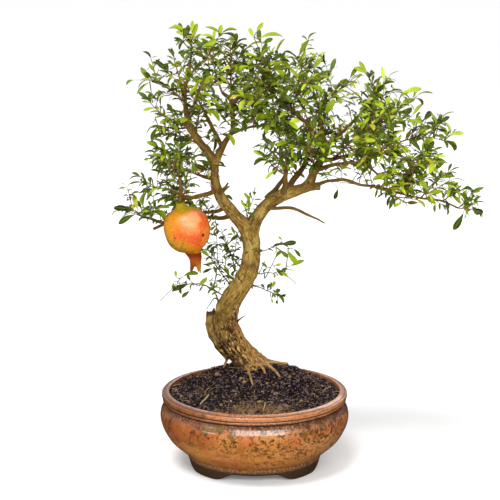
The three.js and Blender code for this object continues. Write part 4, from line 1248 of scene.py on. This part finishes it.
is_leaf = reckoned("GREATER_THAN", marked("length"), 0.01)
sorted_out = node(growth, "GeometryNodeSeparateGeometry", {"Geometry": given["Spray"], "Selection": is_leaf})
lines = node(growth, "GeometryNodeMeshToCurve", {"Mesh": sorted_out.outputs["Inverted"]}).outputs[0]
section = {"Resolution": given["Twig Sides"], "Radius": 1.0}
section = node(growth, "GeometryNodeCurvePrimitiveCircle", section).outputs[0]
sweep = {"Curve": lines, "Profile Curve": section, "Scale": marked("thickness"), "Fill Caps": True}
twigs = node(growth, "GeometryNodeCurveToMesh", sweep).outputs[0]
twigs = node(growth, "GeometryNodeSetMaterial", {"Geometry": twigs, "Material": twig_bark}).outputs[0]
size = times(marked("length"), given["Leaf Length"])
sway = {0: (-0.25, -0.15, -0.15), 1: (0.25, 0.15, 0.15), "Seed": given["Seed"]}
sway = node(growth, "FunctionNodeRandomValue", sway, data_type="FLOAT_VECTOR").outputs[0]
turn = node(growth, "FunctionNodeEulerToRotation", {0: marked("turn", "FLOAT_VECTOR")}).outputs[0]
swayed = node(growth, "FunctionNodeEulerToRotation", {0: sway}).outputs[0]
turn = node(growth, "FunctionNodeRotateRotation", {0: turn, 1: swayed}, rotation_space="LOCAL").outputs[0]
seats = sorted_out.outputs["Selection"]
blades = planted(growth, seats, leaves, marked("form"), turn, size, given["Seed"], leaf_green)
both = node(growth, "GeometryNodeJoinGeometry")
growth.links.new(blades, both.inputs[0])
growth.links.new(twigs, both.inputs[0])
growth.links.new(both.outputs[0], growth.nodes.new("NodeGroupOutput").inputs[0])

CROWN_MIDDLE = Vector((60, 10, 400))


def beside(forward, angle, lift=0.25):
    """A direction square to another, at an angle round it."""
    side = Vector((math.cos(angle), math.sin(angle), lift))
    return (side - forward * side.dot(forward)).normalized()


class Spray:
    """The points of a spray: joints of its twigs, and the seats of its leaves."""

    def __init__(self, number):
        self.vary = random.Random(number)
        self.points, self.links, self.thickness, self.length = [], [], [], []
        self.turn, self.sun, self.form, self.course = [], [], [], []

    def any(self, low, high):
        return self.vary.uniform(low, high)

    def add(self, at, thickness, length=0.0, turn=(0, 0, 0), young=0.0, form=0):
        self.points.append(from_pot(*at))
        self.thickness.append(thickness / 1000)
        self.length.append(length)
        self.turn.append(turn)
        self.form.append(form)
        # painted light: a brighter share for leaves on the top, right and front of the crown, plus the young leaves'
        # paler share and a random draw
        out = (at - CROWN_MIDDLE) / 200
        side = 0.3 + 0.3 * out.z + 0.22 * out.x - 0.15 * out.y + young + self.any(-0.3, 0.3)
        self.sun.append(min(1, max(0, side)))

    def twig(self, route, thick, thin):
        first = len(self.points)
        self.course += route
        for i, at in enumerate(route):
            self.add(at, thick + (thin - thick) * i / (len(route) - 1))
        self.links += [(first + i, first + i + 1) for i in range(len(route) - 1)]

    def leaf(self, at, way, size, young=0.0, form=None, front=-0.3):
        way = way.normalized()
        facing = Vector((self.vary.gauss(0, 0.5), front + self.vary.gauss(0, 0.55), 1))
        facing = (facing - way * facing.dot(way)).normalized()
        turn = Matrix((way, facing.cross(way), facing)).transposed().to_euler()
        if form is None:
            form = self.vary.randrange(LEAF_FORMS)
        self.add(at, 0.5, 0.98 * size, tuple(turn), young, form)

    def nearest(self, spot):
        """The place on the spray's twigs that is nearest to a spot."""
        return min(self.course, key=lambda at: (at - spot).length)

    def whip(self, route, thick, leafy):
        """A slender stem through the places given, with thorns and small leaves along it."""
        route = [Vector(spot) for spot in route]
        line = through([self.nearest(route[0]), *route], 5)
        self.twig(line, 1.25 * thick, 0.4)
        for i in range(3, len(line)):
            ahead = (line[i] - line[i - 1]).normalized()
            for angle in (0, math.pi):
                out = ahead * self.any(0.1, 0.7) + beside(ahead, i * 1.3 + angle + self.any(-0.4, 0.4)) * 0.9
                if self.vary.random() < leafy:
                    self.leaf(line[i], out, self.any(0.26, 0.55), 0)
                elif self.vary.random() < leafy * 0.6:
                    self.twig([line[i], line[i] + out.normalized() * self.any(4, 11)], 0.4, 0.25)

    def shoot(self, start, way, length, thick, size, leafy=0.85):
        """A thin shoot that bends to the light, with leaves in pairs and one at its tip."""
        steps = max(2, round(length / 6.5))
        at, heading = start.copy(), way.normalized()
        route, turn = [start], self.any(0, 3)
        for i in range(steps):
            heading = heading + Vector((self.any(-0.17, 0.17), self.any(-0.17, 0.17), self.any(-0.1, 0.2)))
            heading.normalize()
            at = at + heading * length / steps
            route.append(at)
            turn += 1.57 + self.any(-0.4, 0.4)
            for angle in (0, math.pi):
                if i and self.vary.random() < leafy:
                    out = heading * self.any(0.25, 0.9) + beside(heading, turn + angle) * 0.8
                    self.leaf(at, out, size * self.any(0.55, 1.05), 0.2 * i / steps)
        if leafy:
            self.leaf(at, heading, size * self.any(0.8, 1.25), 0.25)
        self.twig(route, thick, 0.38)


def grown(name, number):
    """A spray with its stem, side twigs and leaves."""
    at, towards = stem_of(name)
    bearer, share, tip, _, full = SPRAYS[name]
    spray = Spray(number)
    length = length_of(at)
    end = 1 - 0.8 * LEAF_LENGTH / length
    small = 0.55 + 0.45 * min(1, 2 * full)
    thick = min(1.7, 0.8 * on_limb(bearer, share).w) * small
    steps = max(6, round(length / STEM_STEP))
    route = [at(end * i / steps) for i in range(steps + 1)]
    for i in range(1, steps):
        route[i] = route[i] + Vector((spray.any(-0.9, 0.9), spray.any(-0.9, 0.9), spray.any(-0.9, 0.9)))
    spray.twig(route, thick, 0.5)
    last = at(end)
    onward = (Vector(tip) - last).normalized()
    spray.leaf(last, onward, spray.any(0.85, 1.1), 0.25)
    for angle in (0, 2.2, 4.1):
        aside = beside(onward, number + angle)
        spray.leaf(last - onward * 2, onward + aside * spray.any(0.4, 1), spray.any(0.45, 0.85), 0.2)
    nodes = max(2, round(length / NODE_SPACING))
    for k in range(nodes):
        t = end * (0.22 + 0.7 * (k + 0.4 * draw(number, k)) / (nodes - 0.6))
        start, forward = at(t), towards(t)
        side = beside(forward, number + k * GOLDEN_ANGLE)
        out = (forward * 0.6 + side * 0.8).normalized()
        if k % 2:
            spray.leaf(start, out, small * (0.75 + 0.3 * draw(number, k + 40)))
        else:
            reach = small * (13 + 9 * draw(number, k + 20)) * (1.15 - 0.4 * t)
            spray.shoot(start, out, reach, 0.8, 0.75 * small)
        spray.leaf(start, forward * 0.7 - side * 0.75, small * (0.6 + 0.3 * draw(number, k + 60)))
    pairs = round(length * end / PAIR_SPACING * min(1, 0.5 + 0.5 * full))
    for k in range(pairs):
        t = end * (0.12 + 0.88 * (k + spray.any(0, 0.7)) / pairs)
        start, forward = at(t), towards(t)
        for angle in (0, math.pi):
            if spray.vary.random() < 0.8 * min(1, full):
                out = forward * spray.any(0.3, 0.9) + beside(forward, number * 2 + k * 1.75 + angle) * 0.8
                spray.leaf(start, out, spray.any(0.5, 1), 0.2 * t)
    for k in range(round(length / SHOOT_SPACING * full)):
        t = end * (0.1 + 0.87 * spray.any(0, 1) ** 0.6)
        forward = towards(t)
        out = forward * spray.any(0.2, 0.8) + beside(forward, spray.any(0, 6.3), 0.4) * 0.85
        spray.shoot(at(t), out, spray.any(14, 44) * (1.15 - 0.5 * t), 0.85, spray.any(0.55, 1))
    for k in range(round(length / BARE_TWIG_SPACING * full)):
        t = end * spray.any(0.05, 0.9)
        spray.shoot(at(t), beside(towards(t), spray.any(0, 6.3), 0.1), spray.any(7, 24), 0.6, 0.5, 0)
    for route, thick, leafy in WHIPS.get(name, []):
        spray.whip(route, thick, leafy)
    for *stalk, leaf_tip in OUTLIERS.get(name, []):
        stalk = [Vector(spot) for spot in stalk]
        root = spray.nearest(stalk[0])
        spray.twig([root, root.lerp(stalk[0], 0.5) + Vector((0, 0, 0.6)), *stalk], 0.7, 0.45)
        blade_way = Vector(leaf_tip) - stalk[-1]
        kind = 0 if blade_way.length > 26 else 3 * spray.vary.randrange(3) + 1 + (blade_way.length < 14)
        spray.leaf(stalk[-1], blade_way, 1.3 * blade_way.length / LEAF_LENGTH, 0.15, kind, -1.5)
    if on_limb(bearer, share).w < 5:
        for k in range(round(4 * min(1, full))):
            spot = on_limb(bearer, min(1, max(0.15, share + spray.any(-0.45, 0.12))))
            out = beside(towards(0), spray.any(0, 6.3), 0.5) + towards(0) * 0.5
            spray.shoot(spot.xyz, out, spray.any(18, 45), 0.7, spray.any(0.5, 1))
    mesh = bpy.data.meshes.new(name)
    mesh.from_pydata(spray.points, spray.links, [])
    for key in ("thickness", "length", "sun", "form"):
        mesh.attributes.new(key, "FLOAT", "POINT").data.foreach_set("value", getattr(spray, key))
    turns = mesh.attributes.new("turn", "FLOAT_VECTOR", "POINT")
    turns.data.foreach_set("vector", [c for turn in spray.turn for c in turn])
    made = piece("leafy_" + name, mesh)
    modifier = made.modifiers.new("growth", "NODES")
    modifier.node_group = growth
    modifier[twig_sides.identifier] = 6
    modifier[leaf_size.identifier] = LEAF_LENGTH / 1000
    modifier[leaf_seed.identifier] = number
    return settled(made)


for number, name in enumerate(SPRAYS):
    made = grown(name, number)
    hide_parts("spray_" + name)
    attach(made, "root")

# ---- Fruit ---------------------------------------------------------------------------------------
# One ripening pomegranate, hanging from its short stalk: a round body with a waxy rind that runs from olive
# at the neck to orange and red, and a crown whose lobes have begun to dry.

FRUIT_NECK = (-97, -42, 372.9)
FRUIT_LEAN = 0.235
FRUIT_OUTLINE = [
    (0.1, 0), (4.8, 0), (5.6, -0.5), (6.4, -3), (8.2, -6), (13, -8.6), (19, -12), (25.2, -18), (29, -26),
    (30.1, -36), (29, -46), (25.2, -55), (18.8, -62), (12.4, -65.8), (10.2, -69), (9, -73.5), (8, -79),
    (7.6, -82.5),
]
LOBE_LENGTHS = (16.5, 7, 11, 9, 12)
LOBES = len(LOBE_LENGTHS)
FRUIT_SIDES = 72
rings = []
profile = through([(r, z, 0) for r, z in FRUIT_OUTLINE], 4)
low = FRUIT_OUTLINE[-1][1]
hang = Matrix.Rotation(-FRUIT_LEAN, 4, "Y")


def on_fruit(r, turn, z):
    """A place on the fruit, from its own axis, in the frame."""
    bend = 1.9 * min(1, max(0, (-58 - z) / 18)) - 0.28 * max(0, -78 - z)
    local = hang @ Vector((r * math.cos(turn) + bend, r * math.sin(turn), z))
    return from_pot(*(Vector(FRUIT_NECK) + local))


for at in profile:
    ring = []
    for j in range(FRUIT_SIDES):
        turn = 2 * math.pi * j / FRUIT_SIDES
        belly = math.sin(math.pi * min(1, max(0, -at.y / 66)))
        cells = 0.5 * math.cos(3 * turn + 0.7) + 0.35 * math.cos(5 * turn)
        dent = noise.noise(Vector((math.cos(turn), math.sin(turn), at.y / 25)) * 1.6)
        ring.append(on_fruit(at.x + belly * (0.45 * cells + 0.5 * dent), turn, at.y))
    rings.append(ring)


def crown_ring(shares, thin):
    """One ring of the crown, whose lobes reach down and curl out between the notches."""
    ring = []
    for j in range(FRUIT_SIDES):
        turn = 2 * math.pi * j / FRUIT_SIDES
        wave = (LOBES * turn / (2 * math.pi) + 0.25) % 1
        number = int(LOBES * j / FRUIT_SIDES + 0.25) % LOBES
        lobe = max(0, 1 - abs(2 * wave - 1)) ** 0.75
        curl = 1 + shares * lobe * (0.3 * draw(number, 3) - 0.12)
        ring.append(on_fruit(7.6 * curl - thin, turn, low - 0.6 - shares * LOBE_LENGTHS[number] * lobe))
    return ring


for shares in (0.2, 0.4, 0.6, 0.8, 1.0):
    rings.append(crown_ring(shares, 0))
for shares in (1.0, 0.8, 0.6, 0.4, 0.2):
    rings.append(crown_ring(shares, 1.0))
for r, z in ((5.8, low + 3), (4.5, low + 8), (0.2, low + 10)):
    rings.append([on_fruit(r, 2 * math.pi * j / FRUIT_SIDES, z) for j in range(FRUIT_SIDES)])

MARKS = [
    (21.6, -20.5, -4, 2.6, 0.95), (20, -17, 19, 1.6, 0.8), (-15.5, -25.5, -3, 1.3, 0.55),
    (-14.6, -26, -7, 1.8, 0.55), (-15.6, -25, -10, 1.2, 0.5), (-8, -22, -18, 1.3, 0.6),
    (4, -22, -21, 1.1, 0.6),
]  # x, y, z and size in millimetres from the middle of the fruit, and how dark

rind, tree, shader = finish_of("pomegranate_rind", 0.5, Specular_IOR_Level=0.1, Coat_Roughness=0.26)
place = own_place(tree, on_fruit(0, 0, -36))
level = axes_of(place)[2]
ragged = ruffled(place, 60, 0.02)
across, _, height = axes_of(ragged)
soft = mottle(place, 70, 4, 0.6)
freckles = mottle(place, 420, 4, 0.7)
blush = larger(blot(ragged, (0.008, -0.024, -0.006), 0.03), blot(ragged, (0.019, -0.014, 0.016), 0.024))
# a pale pink patch on the upper front: the rind's paler skin with a painted highlight
pale_and_highlight = times(blot(ragged, (0.004, -0.026, 0.014), 0.021), between(soft, 0.3, 0.6, 0.35, 0.6))
peach = times(blot(ragged, (0.026, -0.012, -0.007), 0.016), between(soft, 0.3, 0.55, 0.5, 0.85))
# painted highlight over the rind's waxy bloom, on the upper front
bloom_and_highlight = [blot(ragged, (0.006, -0.023, 0.018), wide) for wide in (0.019, 0.015, 0.011)]
slanted = steered("DOT_PRODUCT", ragged, (0.4, 0, 1))
olive = times(between(slanted, -0.013, -0.03), between(soft, 0.36, 0.52), 0.8)
spots = times(between(mottle(place, 210, 3, 0.6), 0.6, 0.68), between(height, -0.002, -0.016), 0.8)
marks = [
    (times(blot(place, (x / 1000, y / 1000, z / 1000), wide / 900), dark), "2a1006")
    for x, y, z, wide, dark in MARKS
]
tips = times(between(level, -0.04, -0.052), between(across, 0.008, 0.016, 0.25, 1))
dried = times(between(level, -0.042, -0.05), between(across, 0.02, 0.012), 0.75)
colour = coated(
    shaded(across, -0.02, 0.012, "bc7a0c", "c46218"),
    (times(blush, 0.75), "c63c12"),
    (times(blush, between(soft, 0.45, 0.62), 0.7), "d2601e"),
    (pale_and_highlight, "e08c50"),
    (peach, "d07a26"),
    *[(times(share, 0.2), "eeaa7c") for share in bloom_and_highlight],
    (between(slanted, -0.006, -0.022, 0, 0.9), "b07c08"),
    (olive, "66540a"),
    (between(height, 0.02, 0.031, 0, 0.9), "8c8204"),
    (between(height, 0.03, 0.036), "5e6e04"),
    (between(freckles, 0.53, 0.64, 0, 0.38), "e29a44"),
    (between(freckles, 0.46, 0.36, 0, 0.42), "9c4008"),
    (spots, "4f3c08"),
    *marks,
    (between(level, -0.0285, -0.0325), "701e04"),
    (between(level, -0.034, -0.04), "8a3e02"),
    (times(tips, 0.9), "b27c08"),
    (times(dried, between(mottle(place, 160, 3, 0.7), 0.38, 0.52)), "5a2f0c"),
)
waxy = times(between(level, -0.03, -0.024), between(level, 0.032, 0.022), 0.42)
fed(shader, Base_Color=colour, Coat_Weight=waxy, Normal=relief(freckles, 0.0004, 0.5))
fruit = piece("pomegranate", skin("pomegranate", rings), rind)
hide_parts("fruit")
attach(fruit, "root")

# ---- Flower bud ----------------------------------------------------------------------------------
# A waxy orange bud that hasn't opened, on a short spur: a cup that ends in folded points.

bud_low, bud_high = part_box("flower_bud")
spur = on_limb("bud_spur", 1).xyz
axis = (spur - on_limb("bud_spur", 0.9).xyz).normalized()
tilt = Vector((0, 0, 1)).rotation_difference(axis)
BUD_OUTLINE = [(0.1, 0.3), (1, 0.3), (1.9, 2.6), (2.7, 5.2), (2.4, 7.6), (1.5, 9.6), (0.2, 11.3)]
BUD_SIDES, BUD_FOLDS = 24, 6
rings = []
for at in through([(r, z, 0) for r, z in BUD_OUTLINE], 4):
    ring = []
    for j in range(BUD_SIDES):
        turn = 2 * math.pi * j / BUD_SIDES
        fold = 1 + 0.12 * math.cos(BUD_FOLDS * turn) * at.y / 11
        out = Vector((at.x * fold * math.cos(turn), at.x * fold * math.sin(turn), at.y))
        ring.append(from_pot(*(spur + tilt @ out)))
    rings.append(ring)
petal, tree, shader = finish_of("waxy_bud", 0.35, Subsurface_Weight=0.15, Subsurface_Scale=0.002)
flush = mottle(own_place(tree), 260, 3)
fed(shader, Base_Color=shaded(flush, 0.35, 0.65, "cc6a14", "e09a34"))
bud = piece("bud", skin("bud", rings), petal)
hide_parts("flower_bud")
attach(bud, "root")

# ---- Table, light and camera ---------------------------------------------------------------------
# The tree stands on a pale table in soft studio light: a wide lamp overhead, one in front, a fill behind and
# a strip at the left. A white sphere round it all is seen by the camera alone.

WHITE = (1, 1, 1, 1)

bpy.ops.mesh.primitive_plane_add(size=60)
table = bpy.context.object
table.name = "pale_table"
matte, tree, shader = finish_of(
    "pale_matte", 0.9, Base_Color=(0.9, 0.9, 0.9, 1), Specular_IOR_Level=0.1, Emission_Color=WHITE,
    Emission_Strength=0.14,
)  # fmt: skip
table.data.materials.append(matte)
table.visible_glossy = False
table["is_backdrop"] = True

bpy.ops.mesh.primitive_uv_sphere_add(segments=48, ring_count=24, radius=29)
backdrop = bpy.context.object
backdrop.name = "pale_backdrop"
paper, tree, shader = finish_of(
    "white_paper", 1.0, Base_Color=(0, 0, 0, 1), Emission_Color=WHITE, Emission_Strength=1.0
)
backdrop.data.materials.append(paper)
for rays in ("diffuse", "glossy", "transmission", "volume_scatter", "shadow"):
    setattr(backdrop, "visible_" + rays, False)
backdrop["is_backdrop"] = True

world = bpy.data.worlds.new("studio")
world.use_nodes = True
sky = world.node_tree
glow = sky.nodes["Background"].inputs
glow["Strength"].default_value = 0.3
upward = axes_of(node(sky, "ShaderNodeTexCoord").outputs["Generated"])[2]
sky.links.new(over(between(upward, -0.02, 0.02), (0.1, 0.09, 0.08, 1), WHITE), glow["Color"])
bpy.context.scene.world = world


def aimed(name, kind, place, power, **settings):
    """A lamp that points at the middle of the tree."""
    light = bpy.data.lights.new(name, kind)
    light.energy = power
    for key, value in settings.items():
        setattr(light, key, value)
    made = bpy.data.objects.new(name, light)
    made.location = place
    made.rotation_euler = (Vector((0, 0, 0.25)) - Vector(place)).to_track_quat("-Z", "Y").to_euler()
    bpy.context.scene.collection.objects.link(made)


aimed("overhead", "SUN", (-0.6, -0.95, 2.6), 2.3, angle=math.radians(25))
aimed("softbox", "AREA", (0.25, -2.1, 1.28), 50, shape="RECTANGLE", size=2.8, size_y=0.7)
aimed("rear_fill", "AREA", (0.5, 2.4, 1.7), 22, shape="RECTANGLE", size=2.5, size_y=1.2)
aimed("strip", "AREA", (-1.9, -1.25, 0.7), 5, shape="RECTANGLE", size=0.5, size_y=0.2)

view = bpy.data.cameras.new("view")
view.lens = 138.6
view.sensor_width = 36
view.clip_end = 50
camera = bpy.data.objects.new("view", view)
camera.location = POT_AXIS + Vector((-0.00601, -2.5, 0.8618))
camera.rotation_euler = (math.radians(77.27), 0, 0)
bpy.context.scene.collection.objects.link(camera)
bpy.context.scene.camera = camera
bpy.context.scene.view_settings.view_transform = "Standard"

low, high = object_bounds()
